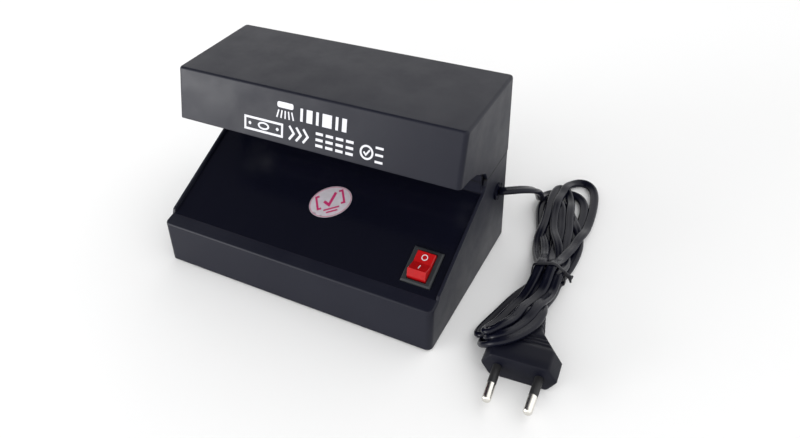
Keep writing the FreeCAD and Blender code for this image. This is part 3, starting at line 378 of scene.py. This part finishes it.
# The sloping bed: its front edge and its slope.
BED_Y, BED_Z = -38.0, 25.6
BED_ANGLE = 23.5
BED_SLOPE = math.radians(BED_ANGLE)
BED_LOW = Vector((0.0, BED_Y, BED_Z))
BED_UP = Vector((0.0, math.cos(BED_SLOPE), math.sin(BED_SLOPE)))
BED_OUT = Vector((0.0, -math.sin(BED_SLOPE), math.cos(BED_SLOPE)))

# The leaning front of the head.
FACE_LOW = Vector((0.0, -15.6, 71.5))
FACE_UP = Vector((0.0, 7.6, 24.7)).normalized()
FACE_OUT = Vector((0.0, -24.7, 7.6)).normalized()


def on_face(u, v, lift=0.0):
    """A point on the head's front: u to the right and v up it, in mm."""
    return (FACE_LOW + Vector((u, 0, 0)) + FACE_UP * v + FACE_OUT * lift) * MM


def on_bed(u, v, lift=0.0):
    """A point on the bed: u to the right and v up the slope, in mm."""
    return (BED_LOW + Vector((u, 0, 0)) + BED_UP * v + BED_OUT * lift) * MM


# ---------------------------------------------------------------- materials

def set_range(node, low, high, new_low, new_high):
    """Sets the ranges of a Map Range node."""
    sockets = ("From Min", "From Max", "To Min", "To Max")
    for socket, number in zip(sockets, (low, high, new_low, new_high)):
        node.inputs[socket].default_value = number


class Shader:
    """A Principled material and short ways to add nodes to it."""

    def __init__(self, name, colour, roughness, metallic=0.0):
        self.material = bpy.data.materials.new(name)
        self.material.use_nodes = True
        self.tree = self.material.node_tree
        self.surface = self.tree.nodes["Principled BSDF"]
        self.set(**{"Base Color": (*colour, 1.0), "Roughness": roughness, "Metallic": metallic})
        self.colour = (*colour, 1.0)
        self.place = self.node("ShaderNodeTexCoord").outputs["Object"]
        self.normal = None

    def set(self, **values):
        """Sets plain values on the shader's own sockets."""
        for socket, value in values.items():
            self.surface.inputs[socket].default_value = value

    def node(self, kind, **settings):
        """A new node with its settings."""
        made = self.tree.nodes.new(kind)
        for key, value in settings.items():
            setattr(made, key, value)
        return made

    def link(self, source, target):
        self.tree.links.new(source, target)

    def noise(self, scale, detail=3.0, rough=0.5, place=None):
        """Noise over the piece, from 0 to 1."""
        made = self.node("ShaderNodeTexNoise")
        made.inputs["Scale"].default_value = scale
        made.inputs["Detail"].default_value = detail
        made.inputs["Roughness"].default_value = rough
        self.link(place or self.place, made.inputs["Vector"])
        return made.outputs["Fac"]

    def stretched(self, scale):
        """The piece's own coordinates, scaled along each axis."""
        made = self.node("ShaderNodeMapping")
        made.inputs["Scale"].default_value = scale
        self.link(self.place, made.inputs["Vector"])
        return made.outputs["Vector"]

    def feed(self, value, socket):
        """Gives a socket a plain value, or links another socket to it."""
        if isinstance(value, (int, float, tuple)):
            socket.default_value = value
        else:
            self.link(value, socket)

    def math(self, operation, first, second=None):
        """One sum on sockets or numbers."""
        made = self.node("ShaderNodeMath", operation=operation)
        self.feed(first, made.inputs[0])
        if second is not None:
            self.feed(second, made.inputs[1])
        return made.outputs[0]

    def spread(self, value, low, high, new_low, new_high):
        """Spreads the range low to high of a socket over a new range."""
        made = self.node("ShaderNodeMapRange")
        self.link(value, made.inputs["Value"])
        set_range(made, low, high, new_low, new_high)
        return made.outputs["Result"]

    def vary(self, colour, share):
        """Blends the base colour towards another by the share that a socket gives."""
        made = self.node("ShaderNodeMix", data_type="RGBA")
        self.link(share, made.inputs["Factor"])
        source = self.surface.inputs["Base Color"]
        before = source.links[0].from_socket if source.links else self.colour
        self.feed(before, made.inputs[6])
        self.feed((*colour, 1.0), made.inputs[7])
        self.link(made.outputs[2], source)

    def rough(self, value):
        """Links a socket to the roughness."""
        self.link(value, self.surface.inputs["Roughness"])

    def rounded(self, radius):
        """Softens the look of moulded edges."""
        made = self.node("ShaderNodeBevel", samples=6)
        made.inputs["Radius"].default_value = radius
        self.normal = made.outputs["Normal"]
        self.link(self.normal, self.surface.inputs["Normal"])

    def bump(self, height, distance, strength):
        """Fine relief from a socket; distance is its depth in metres."""
        made = self.node("ShaderNodeBump")
        made.inputs["Distance"].default_value = distance
        made.inputs["Strength"].default_value = strength
        self.link(height, made.inputs["Height"])
        if self.normal:
            self.link(self.normal, made.inputs["Normal"])
        self.normal = made.outputs["Normal"]
        self.link(self.normal, self.surface.inputs["Normal"])


def grained(name, colour, light, roughness, grain=3200.0, depth=0.00003, edge=0.00045, swing=0.06):
    """Moulded plastic: fine spark grain, faint cloudy tone, rubbed patches."""
    shader = Shader(name, colour, roughness)
    if edge:
        shader.rounded(edge)
    cloud = shader.noise(28.0, 4.0)
    shader.vary(light, shader.spread(cloud, 0.3, 0.75, 0.0, 0.45))
    specks = shader.noise(900.0, 2.0)
    shader.vary(light, shader.spread(specks, 0.62, 0.8, 0.0, 0.3))
    smudge = shader.noise(60.0, 5.0, 0.6)
    shader.rough(shader.spread(smudge, 0.3, 0.7, roughness - swing, roughness + swing))
    shader.bump(shader.noise(grain, 2.0), depth, 0.5)
    return shader


def metal(name, colour, roughness, along=(1.0, 1.0, 1.0)):
    """Bare or plated metal with fine drawing marks and slight tarnish."""
    shader = Shader(name, colour, roughness, 1.0)
    shader.rounded(0.0001)
    marks = shader.noise(400.0, 3.0, 0.6, shader.stretched(along))
    tarnish = shader.noise(120.0, 4.0)
    dull = tuple(channel * 0.62 for channel in colour)
    shader.vary(dull, shader.spread(tarnish, 0.5, 0.8, 0.0, 0.5))
    shader.rough(shader.spread(marks, 0.3, 0.7, roughness - 0.06, roughness + 0.1))
    shader.bump(marks, 0.00002, 0.35)
    return shader


def case_plastic(name):
    """Satin case plastic; the sloping bed is polished and darker by painted shade, and the seam is a dark
    line of painted shade.
    """
    shader = grained(name, (0.0045, 0.005, 0.0115), (0.011, 0.012, 0.02), 0.42)
    shader.set(**{"Specular IOR Level": 0.2})
    # Painted shade: the bed under the head gets a darker colour than the rest of the case.
    bed_shade_tone = (0.003, 0.0033, 0.0075)
    bed_half_width = 76.05 * MM
    # Painted shade: a dark line along the joint of the two shells stands in for the shade in the gap between
    # them.
    seam_shade_tone = (0.0006, 0.0006, 0.001)
    seam_height = 55.15 * MM
    seam_half_width = 0.33 * MM
    split = shader.node("ShaderNodeSeparateXYZ")
    shader.link(shader.place, split.inputs[0])
    x, y, z = split.outputs
    rise = shader.math("MULTIPLY", shader.math("SUBTRACT", z, BED_Z * MM), math.cos(BED_SLOPE))
    run = shader.math("MULTIPLY", shader.math("ADD", y, -BED_Y * MM), math.sin(BED_SLOPE))
    lift = shader.math("SUBTRACT", rise, run)
    on_plane = shader.math("LESS_THAN", shader.math("ABSOLUTE", lift), 0.35 * MM)
    inside = shader.math("LESS_THAN", shader.math("ABSOLUTE", x), bed_half_width)
    behind = shader.math("GREATER_THAN", y, (BED_Y - 0.2) * MM)
    bed = shader.math("MULTIPLY", shader.math("MULTIPLY", on_plane, inside), behind)
    # Paints the bed's shade into its colour; its polish is real and set in the roughness below.
    shader.vary(bed_shade_tone, bed)
    # Paints the joint's shade as a dark band round the whole case at the seam's height.
    off_seam = shader.math("ABSOLUTE", shader.math("SUBTRACT", z, seam_height))
    shader.vary(seam_shade_tone, shader.math("LESS_THAN", off_seam, seam_half_width))
    source = shader.surface.inputs["Roughness"].links[0].from_socket
    wiped = shader.noise(55.0, 5.0, 0.65, shader.stretched((1.0, 0.35, 0.35)))
    polish = shader.spread(wiped, 0.3, 0.75, 0.13, 0.24)
    blend = shader.node("ShaderNodeMix", data_type="FLOAT")
    shader.link(bed, blend.inputs["Factor"])
    shader.link(source, blend.inputs[2])
    shader.link(polish, blend.inputs[3])
    shader.rough(blend.outputs[0])
    return shader


def rocker_plastic(name):
    """Glossy red plastic, slightly cloudy."""
    shader = Shader(name, (0.36, 0.0045, 0.006), 0.2)
    shader.rounded(0.0003)
    shader.set(**{"Specular IOR Level": 0.3})
    cloud = shader.noise(160.0, 4.0)
    shader.vary((0.24, 0.002, 0.003), shader.spread(cloud, 0.4, 0.8, 0.0, 0.6))
    shader.rough(shader.spread(shader.noise(300.0, 5.0), 0.3, 0.75, 0.14, 0.3))
    shader.bump(shader.noise(700.0, 2.0), 0.00002, 0.25)
    return shader


def glass_tube(name):
    """The dark violet glass of a black-light tube."""
    shader = Shader(name, (0.028, 0.012, 0.07), 0.07)
    shader.set(**{"Coat Weight": 1.0, "Coat Roughness": 0.03})
    bands = shader.noise(30.0, 3.0, 0.5, shader.stretched((0.25, 1.0, 1.0)))
    shader.vary((0.05, 0.02, 0.13), shader.spread(bands, 0.35, 0.7, 0.0, 0.8))
    shader.rough(shader.spread(shader.noise(200.0, 4.0), 0.3, 0.7, 0.05, 0.12))
    shader.bump(shader.noise(150.0, 2.0), 0.00002, 0.2)
    return shader


def foil(name):
    """Silver label foil with a fine crinkle."""
    shader = Shader(name, (0.56, 0.54, 0.58), 0.34, 0.4)
    crinkle = shader.noise(420.0, 4.0)
    shader.vary((0.68, 0.63, 0.7), shader.spread(crinkle, 0.4, 0.7, 0.0, 0.6))
    shader.rough(shader.spread(shader.noise(150.0, 3.0), 0.3, 0.7, 0.26, 0.44))
    shader.bump(crinkle, 0.00006, 0.4)
    return shader


def wire_pvc(name, colour, light):
    """The coloured insulation of the inner wires."""
    return grained(name, colour, light, 0.4, grain=900.0, depth=0.00002, edge=0.0)


def ink(name, colour, light, roughness):
    """Printed ink, slightly flecked."""
    shader = Shader(name, colour, roughness)
    flecks = shader.noise(2600.0, 3.0, 0.6)
    shader.vary(light, shader.spread(flecks, 0.52, 0.72, 0.0, 0.55))
    shader.rough(shader.spread(flecks, 0.3, 0.7, roughness - 0.1, roughness + 0.12))
    shader.bump(flecks, 0.00001, 0.4)
    return shader


LOOKS = {
    "case_black": case_plastic("case_plastic"),
    "plate_black": grained("plate_plastic", (0.018, 0.018, 0.02), (0.03, 0.03, 0.033), 0.5),
    "rubber_black": grained("foot_rubber", (0.014, 0.014, 0.015), (0.03, 0.03, 0.03), 0.8,
                            grain=1800.0, depth=0.00006),
    "screw_steel": metal("screw_zinc", (0.55, 0.55, 0.57), 0.32),
    "uv_glass": glass_tube("tube_glass"),
    "cap_aluminium": metal("cap_metal", (0.72, 0.72, 0.74), 0.3, (1.0, 0.1, 0.1)),
    "contact_brass": metal("contact_metal", (0.74, 0.55, 0.26), 0.28, (0.2, 1.0, 1.0)),
    "holder_white": grained("holder_plastic", (0.72, 0.72, 0.69), (0.82, 0.82, 0.79), 0.35, grain=2600.0),
    "reflector_aluminium": metal("reflector_sheet", (0.8, 0.8, 0.82), 0.2, (0.05, 1.0, 1.0)),
    "board_tan": grained("board_paper", (0.34, 0.2, 0.07), (0.46, 0.3, 0.12), 0.45,
                         grain=1500.0, depth=0.00002, edge=0.0001),
    "ferrite_grey": grained("core_ferrite", (0.04, 0.04, 0.043), (0.09, 0.09, 0.095), 0.6,
                            grain=1400.0, depth=0.00006),
    "coil_yellow": grained("coil_tape", (0.75, 0.5, 0.06), (0.85, 0.66, 0.16), 0.25,
                           grain=700.0, depth=0.00002),
    "capacitor_blue": grained("can_sleeve", (0.012, 0.03, 0.12), (0.03, 0.06, 0.2), 0.25, grain=900.0),
    "transistor_black": grained("transistor_epoxy", (0.02, 0.02, 0.02), (0.04, 0.04, 0.04), 0.55),
    "resistor_beige": grained("resistor_lacquer", (0.5, 0.36, 0.2), (0.62, 0.48, 0.3), 0.35),
    "bezel_black": grained("bezel_plastic", (0.014, 0.016, 0.018), (0.03, 0.033, 0.036), 0.38,
                           grain=2600.0, edge=0.0003),
    "rocker_red": rocker_plastic("rocker_plastic"),
    "sticker_silver": foil("sticker_foil"),
    "wire_white": wire_pvc("wire_white_pvc", (0.7, 0.7, 0.68), (0.8, 0.8, 0.78)),
    "wire_red": wire_pvc("wire_red_pvc", (0.45, 0.02, 0.02), (0.6, 0.05, 0.05)),
    "wire_brown": wire_pvc("wire_brown_pvc", (0.13, 0.05, 0.02), (0.2, 0.08, 0.03)),
    "cord_black": grained("cord_pvc", (0.002, 0.0024, 0.0078), (0.006, 0.0065, 0.013), 0.24,
                          grain=1300.0, edge=0.0, swing=0.08),
    "tie_black": grained("tie_plastic", (0.005, 0.0053, 0.0085), (0.013, 0.0135, 0.019), 0.34,
                         grain=1500.0, depth=0.00004, edge=0.0),
    "plug_black": grained("plug_pvc", (0.0022, 0.0026, 0.0075), (0.007, 0.0075, 0.0135), 0.44,
                          grain=1500.0, depth=0.00005, edge=0.0003),
    "sleeve_black": grained("sleeve_plastic", (0.014, 0.014, 0.015), (0.03, 0.03, 0.032), 0.4),
    "pin_nickel": metal("pin_plate", (0.74, 0.72, 0.67), 0.22, (1.0, 0.15, 1.0)),
}

# How strongly the darkest plastics mirror their surroundings.
SPECULAR = {
    "cord_black": 0.19,
    "plug_black": 0.16,
    "bezel_black": 0.3,
    "tie_black": 0.3,
    "plate_black": 0.25,
    "sleeve_black": 0.3,
}


def dress_nodes():
    """Gives every CAD node the material of its slot."""
    slots = {entry["node"]: entry["material_slot"] for entry in frame["record"]["subparts"]}
    for name, thing in NODES.items():
        look = LOOKS[slots[name]].material
        if not thing.material_slots:
            thing.data.materials.append(look)
        for holder in thing.material_slots:
            holder.material = look


for slot_name, level in SPECULAR.items():
    LOOKS[slot_name].set(**{"Specular IOR Level": level})
dress_nodes()


def finish_piece(thing, slot, body="case", look=None):
    """Gives a piece its material, its slot and its body."""
    thing.data.materials.clear()
    thing.data.materials.append((look or LOOKS[slot]).material)
    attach(thing, body)
    return thing


finish_piece(CORD, "cord_black")
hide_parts("cord_lead", "cord_hank")


# ---------------------------------------------------------------- plug

def rounded_outline(corners, radius, steps=4):
    """A polygon with rounded corners, as (x, z) pairs."""
    outline = []
    count = len(corners)
    for index in range(count):
        before = Vector(corners[index - 1])
        corner = Vector(corners[index])
        after = Vector(corners[(index + 1) % count])
        back = (before - corner).normalized()
        ahead = (after - corner).normalized()
        reach = min(radius, (before - corner).length * 0.4, (after - corner).length * 0.4)
        first = corner + back * reach
        last = corner + ahead * reach
        for step in range(steps + 1):
            t = step / steps
            outline.append(first * (1 - t) ** 2 + corner * 2 * t * (1 - t) + last * t ** 2)
    return outline


def plug_ring(back, width, flat, tall, inset=0.0):
    """One six-sided section of the plug, with rounded corners, drawn in by inset."""
    side = width / 2 - inset
    top = tall / 2 - inset
    corners = [(-side, 0), (-flat / 2, -top), (flat / 2, -top), (side, 0), (flat / 2, top), (-flat / 2, top)]
    outline = rounded_outline(corners, 0.9)
    return [mm(*plug_point(x, back, PLUG_HALF_HEIGHT + z)) for x, z in outline]


def make_plug():
    """The moulded plug: rounded edges, a flat block, a taper with ribs and a ribbed neck."""
    rings = []
    edge = 0.8
    block, shoulder, end = [section[0] for section in PLUG_SECTIONS[1:]]
    for back, inset in ((0.0, edge), (0.1, edge * 0.62), (0.3, edge * 0.3), (edge, 0.0)):
        rings.append(plug_ring(back, *PLUG_SECTIONS[0][1:], inset))
    for back in (block * 0.5, block - 1.0):
        rings.append(plug_ring(back, *PLUG_SECTIONS[1][1:]))
    taper_grooves = [(13.2 + 2.2 * index, 0.35) for index in range(3)]
    neck_grooves = [(25.5 + 2.5 * index, 0.4) for index in range(4)]
    grooves = taper_grooves + neck_grooves
    stations = [block, shoulder - 2.0, shoulder, shoulder + 1.0, end - 0.6, end]
    for centre, _ in grooves:
        stations += [centre - 0.55, centre - 0.4, centre + 0.4, centre + 0.55]
    keys = [section[0] for section in PLUG_SECTIONS]
    for back in sorted(stations):
        sizes = [float(np.interp(back, keys, [section[k] for section in PLUG_SECTIONS])) for k in (1, 2, 3)]
        inset = 0.35 if back == end else 0.0
        for centre, depth in grooves:
            if abs(back - centre) < 0.5:
                inset = depth
        rings.append(plug_ring(back, *sizes, inset))
    return rings_object("plug_moulding", rings)


PLUG = finish_piece(make_plug(), "plug_black")
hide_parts("plug_body")


# ---------------------------------------------------------------- wire tie

def tube_rings(path, radius):
    """Rings of a round tube along a list of points in metres."""
    count = 8
    rings = []
    side = None
    for index, place in enumerate(path):
        ahead = (path[min(index + 1, len(path) - 1)] - path[max(index - 1, 0)]).normalized()
        if side is None:
            side = ahead.cross(Vector((0, 0, 1)))
            if side.length < 0.1:
                side = ahead.cross(Vector((0, 1, 0)))
        side = (side - ahead * side.dot(ahead)).normalized()
        up = ahead.cross(side)
        ring = []
        for step in range(count):
            angle = 2 * math.pi * step / count
            ring.append(place + (side * math.cos(angle) + up * math.sin(angle)) * radius)
        rings.append(ring)
    return rings


def hull_of(points):
    """The convex outline of points in a plane."""
    points = sorted(set(points))

    def half(chain):
        kept = []
        for point in chain:
            while len(kept) > 1:
                (ax, ay), (bx, by) = kept[-2:]
                if (bx - ax) * (point[1] - ay) - (by - ay) * (point[0] - ax) > 0:
                    break
                kept.pop()
            kept.append(point)
        return kept[:-1]

    return half(points) + half(points[::-1])


# Where the tie crosses the middle of the hank, and how far it slants back for each mm to the right.
TIE_Y = 17.2
TIE_MIDDLE = 112.5
TIE_SLANT = 0.3
# The tie's section, height and place across: thin wings with the wire in the middle.
TIE_SECTION = [
    (0.0, -0.9), (0.35, -0.95), (0.45, -0.55), (0.72, -0.3),
    (0.72, 0.3), (0.45, 0.55), (0.35, 0.95), (0.0, 0.9),
]


def tie_outline():
    """The tie's line round the strands at the waist of the hank, as (x, z, y) in mm."""
    near_tie = CORD_PATH[np.abs(CORD_PATH[:, 1] / MM - TIE_Y) < 1.6] / MM
    spots = []
    for x, _, z in near_tie:
        for angle in range(0, 360, 20):
            spots.append((round(x + 2.75 * math.cos(math.radians(angle)), 3),
                          round(max(0.45, z + 1.85 * math.sin(math.radians(angle))), 3)))
    outline = rounded_outline(hull_of(spots), 2.0, 3)
    return [(x, z, TIE_Y + TIE_SLANT * (x - TIE_MIDDLE)) for x, z in outline]


def make_tie_band(band):
    """A flat coated wire drawn round the waist of the hank."""
    rings = []
    count = len(band)
    for index in range(count):
        x, z, y = band[index]
        before = Vector(band[index - 1][:2])
        after = Vector(band[(index + 1) % count][:2])
        run = (after - before).normalized()
        out = Vector((run[1], -run[0]))
        ring = []
        for over, wide in TIE_SECTION:
            ring.append(mm(x + out[0] * over, y + wide, max(0.05, z + out[1] * over)))
        rings.append(ring)
    return rings_object("wire_tie", rings, closed=True)


def make_tie_strand(turn, knot):
    """One of the tie's two ends, twisted round the other and bent away at its tip."""
    steps = 33
    twists = 2.6
    path = []
    for step in range(steps + 1):
        t = step / steps
        angle = 2 * math.pi * twists * t + math.pi * turn
        spread = 0.62 if t < 0.7 else 0.62 + (t - 0.7) * 3.0
        path.append(mm(knot[0] + 4.2 * t,
                       knot[1] - 1.6 * t + spread * math.cos(angle),
                       knot[2] - 1.6 * t + spread * math.sin(angle)))
    return rings_object("tie_strand_%d" % turn, tube_rings(path, 0.55 * MM))


def add_tie():
    """The band and its two twisted ends, at the upper right of the waist."""
    band = tie_outline()
    tie = make_tie_band(band)
    edge = max(band)[0]
    right = max((spot for spot in band if spot[0] > edge - 1.5), key=lambda spot: spot[1])
    knot = Vector((right[0] + 0.5, right[2], right[1] - 0.6))
    for turn in (0, 1):
        strand = make_tie_strand(turn, knot)
        finish_piece(strand, "tie_black")
        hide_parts("cord_tie")
    finish_piece(tie, "tie_black")
    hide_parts("cord_tie")
    return tie


TIE = add_tie()


# ---------------------------------------------------------------- print on the head

def prints(name, shapes, place, low, high):
    """Thin raised print: each shape is an outline, or an outer and an inner outline for a ring."""
    points = []
    faces = []
    for shape in shapes:
        outer, inner = shape if isinstance(shape, tuple) else (shape, None)
        count = len(outer)
        start = len(points)
        for lift in (low, high):
            points += [place(u, v, lift) for u, v in outer]
            if inner:
                points += [place(u, v, lift) for u, v in inner]
        layer = count * (2 if inner else 1)
        for index in range(count):
            after = (index + 1) % count
            a, b = start + index, start + after
            faces.append((a, b, b + layer, a + layer))
            if inner:
                c, d = a + count, b + count
                faces.append((d, c, c + layer, d + layer))
                faces.append((a, c, d, b))
                faces.append((a + layer, b + layer, d + layer, c + layer))
        if not inner:
            faces.append(tuple(range(start + count - 1, start - 1, -1)))
            faces.append(tuple(range(start + layer, start + layer + count)))
    return mesh_object(name, points, faces, smooth=False)


def box_outline(u0, v0, u1, v1):
    """A box between two opposite corners."""
    return [(u0, v0), (u1, v0), (u1, v1), (u0, v1)]


def oval(u, v, wide, tall, count=40):
    """An ellipse with its two half sizes."""
    angles = [2 * math.pi * index / count for index in range(count)]
    return [(u + wide * math.cos(angle), v + tall * math.sin(angle)) for angle in angles]


def stroke(points, width):
    """A mitred line of constant width through a few points."""
    left = []
    right = []
    for index, point in enumerate(points):
        here = Vector(point)
        before = Vector(points[max(index - 1, 0)])
        after = Vector(points[min(index + 1, len(points) - 1)])
        into = (here - before).normalized() if index else (after - here).normalized()
        out = (after - here).normalized() if index < len(points) - 1 else into
        bisector = (into + out).normalized()
        normal = Vector((-bisector[1], bisector[0]))
        reach = width / 2 / max(0.35, normal.dot(Vector((-into[1], into[0]))))
        left.append(tuple(here + normal * reach))
        right.append(tuple(here - normal * reach))
    return left + right[::-1]


def head_print():
    """Generic marks: a lamp with rays, a row of bars, then a note, chevrons and a checked lens."""
    lamp = rounded_outline(box_outline(-17.5, 17.6, -8.5, 20.4), 1.2)
    shapes = [[tuple(point) for point in lamp]]
    for ray in range(5):
        u = -16.6 + 1.8 * ray
        lean = (ray - 2) * 0.55
        shapes.append(stroke([(u, 16.4), (u + lean, 12.6)], 0.75))
    u = -4.6
    for width in (1.4, 3.2, 1.4, 5.0, 1.4, 2.4):
        shapes.append(box_outline(u, 13.2, u + width, 19.4))
        u += width + 2.0
    shapes.append((box_outline(-36.6, 3.0, -14.0, 10.0), box_outline(-35.5, 4.1, -15.1, 8.9)))
    shapes.append((oval(-25.3, 6.5, 3.3, 1.9), oval(-25.3, 6.5, 2.3, 1.05)))
    for u in (-33.3, -17.3):
        shapes.append(oval(u, 6.5, 0.8, 0.8, 20))
    for u in (-10.5, -6.6, -2.7):
        shapes.append(stroke([(u, 9.8), (u + 2.6, 6.5), (u, 3.2)], 1.15))
    for index in range(4):
        u = 4.2 + 5.4 * index
        for v in (3.0, 5.8, 8.7):
            shapes.append(box_outline(u, v, u + 3.9, v + 1.3))
    shapes.append((oval(31.2, 6.5, 3.5, 3.5), oval(31.2, 6.5, 2.55, 2.55)))
    shapes.append(stroke([(29.7, 6.6), (30.9, 5.3), (32.8, 7.9)], 0.8))
    for v in (3.2, 6.5, 9.8):
        shapes.append(stroke([(35.6, v), (39.6, v)], 1.1))
    return prints("head_print", shapes, on_face, -0.02, 0.05)


WHITE_INK = ink("white_ink", (0.56, 0.56, 0.6), (0.42, 0.42, 0.46), 0.45)
MAGENTA_INK = ink("magenta_ink", (0.36, 0.006, 0.085), (0.46, 0.05, 0.2), 0.4)
finish_piece(head_print(), "case_black", look=WHITE_INK)


# ---------------------------------------------------------------- sticker print

def sticker_print():
    """A generic inspection mark: a rim, a tick in brackets and two bars."""
    turn = math.radians(34.0)
    centre = (4.7, 31.3)

    def turned(points):
        """The points turned and moved to the sticker's middle."""
        result = []
        for x, y in points:
            result.append((centre[0] + x * math.cos(turn) - y * math.sin(turn),
                           centre[1] + x * math.sin(turn) + y * math.cos(turn)))
        return result

    shapes = [(turned(oval(0, 0, 11.0, 8.4, 60)), turned(oval(0, 0, 10.75, 8.15, 60)))]
    shapes.append(turned(stroke([(-3.2, 1.2), (-1.0, -1.6), (3.6, 4.6)], 1.5)))
    for side in (-1, 1):
        bracket = [(5.2 * side, 4.8), (7.0 * side, 4.8), (7.0 * side, -2.4), (5.2 * side, -2.4)]
        shapes.append(turned(stroke(bracket, 1.1)))
    for half, v in ((4.2, -4.4), (3.0, -6.1)):
        shapes.append(turned(box_outline(-half, v, half, v + 0.9)))
    return prints("sticker_print", shapes, on_bed, 0.14, 0.19)


finish_piece(sticker_print(), "sticker_silver", look=MAGENTA_INK)


# ---------------------------------------------------------------- marks on the rocker

def rocker_marks():
    """The usual ring at the off end and dash at the on end, on the two faces of the rocker."""
    off_tilt = 16.0
    tilt = math.radians(BED_ANGLE - off_tilt)
    pivot = BED_LOW + BED_UP * 12.7 - BED_OUT * 0.4 + Vector((64.0, 0, 0))
    along = Vector((0.0, math.cos(tilt), math.sin(tilt)))
    out = Vector((0.0, -math.sin(tilt), math.cos(tilt)))
    valley = pivot + out * 3.4
    marks = []
    for sign, shape in ((1, "ring"), (-1, "dash")):
        crest = pivot + along * (5.6 * sign) + out * 5.0
        run = (crest - valley).normalized()
        face_out = Vector((1, 0, 0)).cross(run) * sign
        middle = (valley + crest) / 2 + run * 0.15

        def place(u, v, lift, middle=middle, run=run, face_out=face_out):
            """A point on this face of the rocker."""
            return (middle + Vector((u, 0, 0)) + run * v + face_out * lift) * MM

        if shape == "ring":
            shapes = [(oval(0, 0, 1.55, 1.55, 40), oval(0, 0, 1.15, 1.15, 40))]
        else:
            shapes = [box_outline(-0.22, -1.3, 0.22, 1.3)]
        marks.append(prints("rocker_%s" % shape, shapes, place, -0.02, 0.04))
    return marks


for mark in rocker_marks():
    finish_piece(mark, "rocker_red", "rocker", WHITE_INK)


# ---------------------------------------------------------------- floor and light

def add_stage():
    """A plain pale floor."""
    points = [(-2.2, -1.6, 0), (2.2, -1.6, 0), (2.2, 2.4, 0), (-2.2, 2.4, 0)]
    floor = mesh_object("floor", points, [(0, 1, 2, 3)], smooth=False)
    look = Shader("floor_paper", (0.86, 0.86, 0.86), 0.9)
    look.vary((0.9, 0.9, 0.9), look.spread(look.noise(3.0), 0.3, 0.7, 0.0, 0.5))
    floor.data.materials.append(look.material)


def add_light(name, place, aim, width, height, power):
    """A soft box light that faces a point."""
    data = bpy.data.lights.new(name, "AREA")
    data.shape = "RECTANGLE"
    data.size = width
    data.size_y = height
    data.energy = power
    light = bpy.data.objects.new(name, data)
    bpy.context.scene.collection.objects.link(light)
    light.location = place
    light.rotation_euler = (Vector(aim) - Vector(place)).to_track_quat("-Z", "Y").to_euler()


def add_world(bright, dark, towards):
    """A white studio with a dark patch of ceiling, which the polished bed mirrors."""
    world = bpy.data.worlds.new("studio")
    world.use_nodes = True
    tree = world.node_tree
    place = tree.nodes.new("ShaderNodeTexCoord")
    aim = tree.nodes.new("ShaderNodeVectorMath")
    aim.operation = "DOT_PRODUCT"
    aim.inputs[1].default_value = Vector(towards).normalized()
    tree.links.new(place.outputs["Generated"], aim.inputs[0])
    fade = tree.nodes.new("ShaderNodeMapRange")
    fade.interpolation_type = "SMOOTHSTEP"
    tree.links.new(aim.outputs["Value"], fade.inputs["Value"])
    set_range(fade, 0.72, 0.93, bright, dark)
    back = tree.nodes["Background"]
    back.inputs["Color"].default_value = (1.0, 1.0, 1.0, 1.0)
    tree.links.new(fade.outputs["Result"], back.inputs["Strength"])
    bpy.context.scene.world = world


add_stage()
add_world(1.5, 0.1, (-0.45, 0.12, 0.88))
add_light("left_front", (-1.0, -1.05, 0.22), (-0.05, 0, 0.08), 0.7, 0.4, 14.0)
bpy.context.scene.view_settings.view_transform = "Standard"
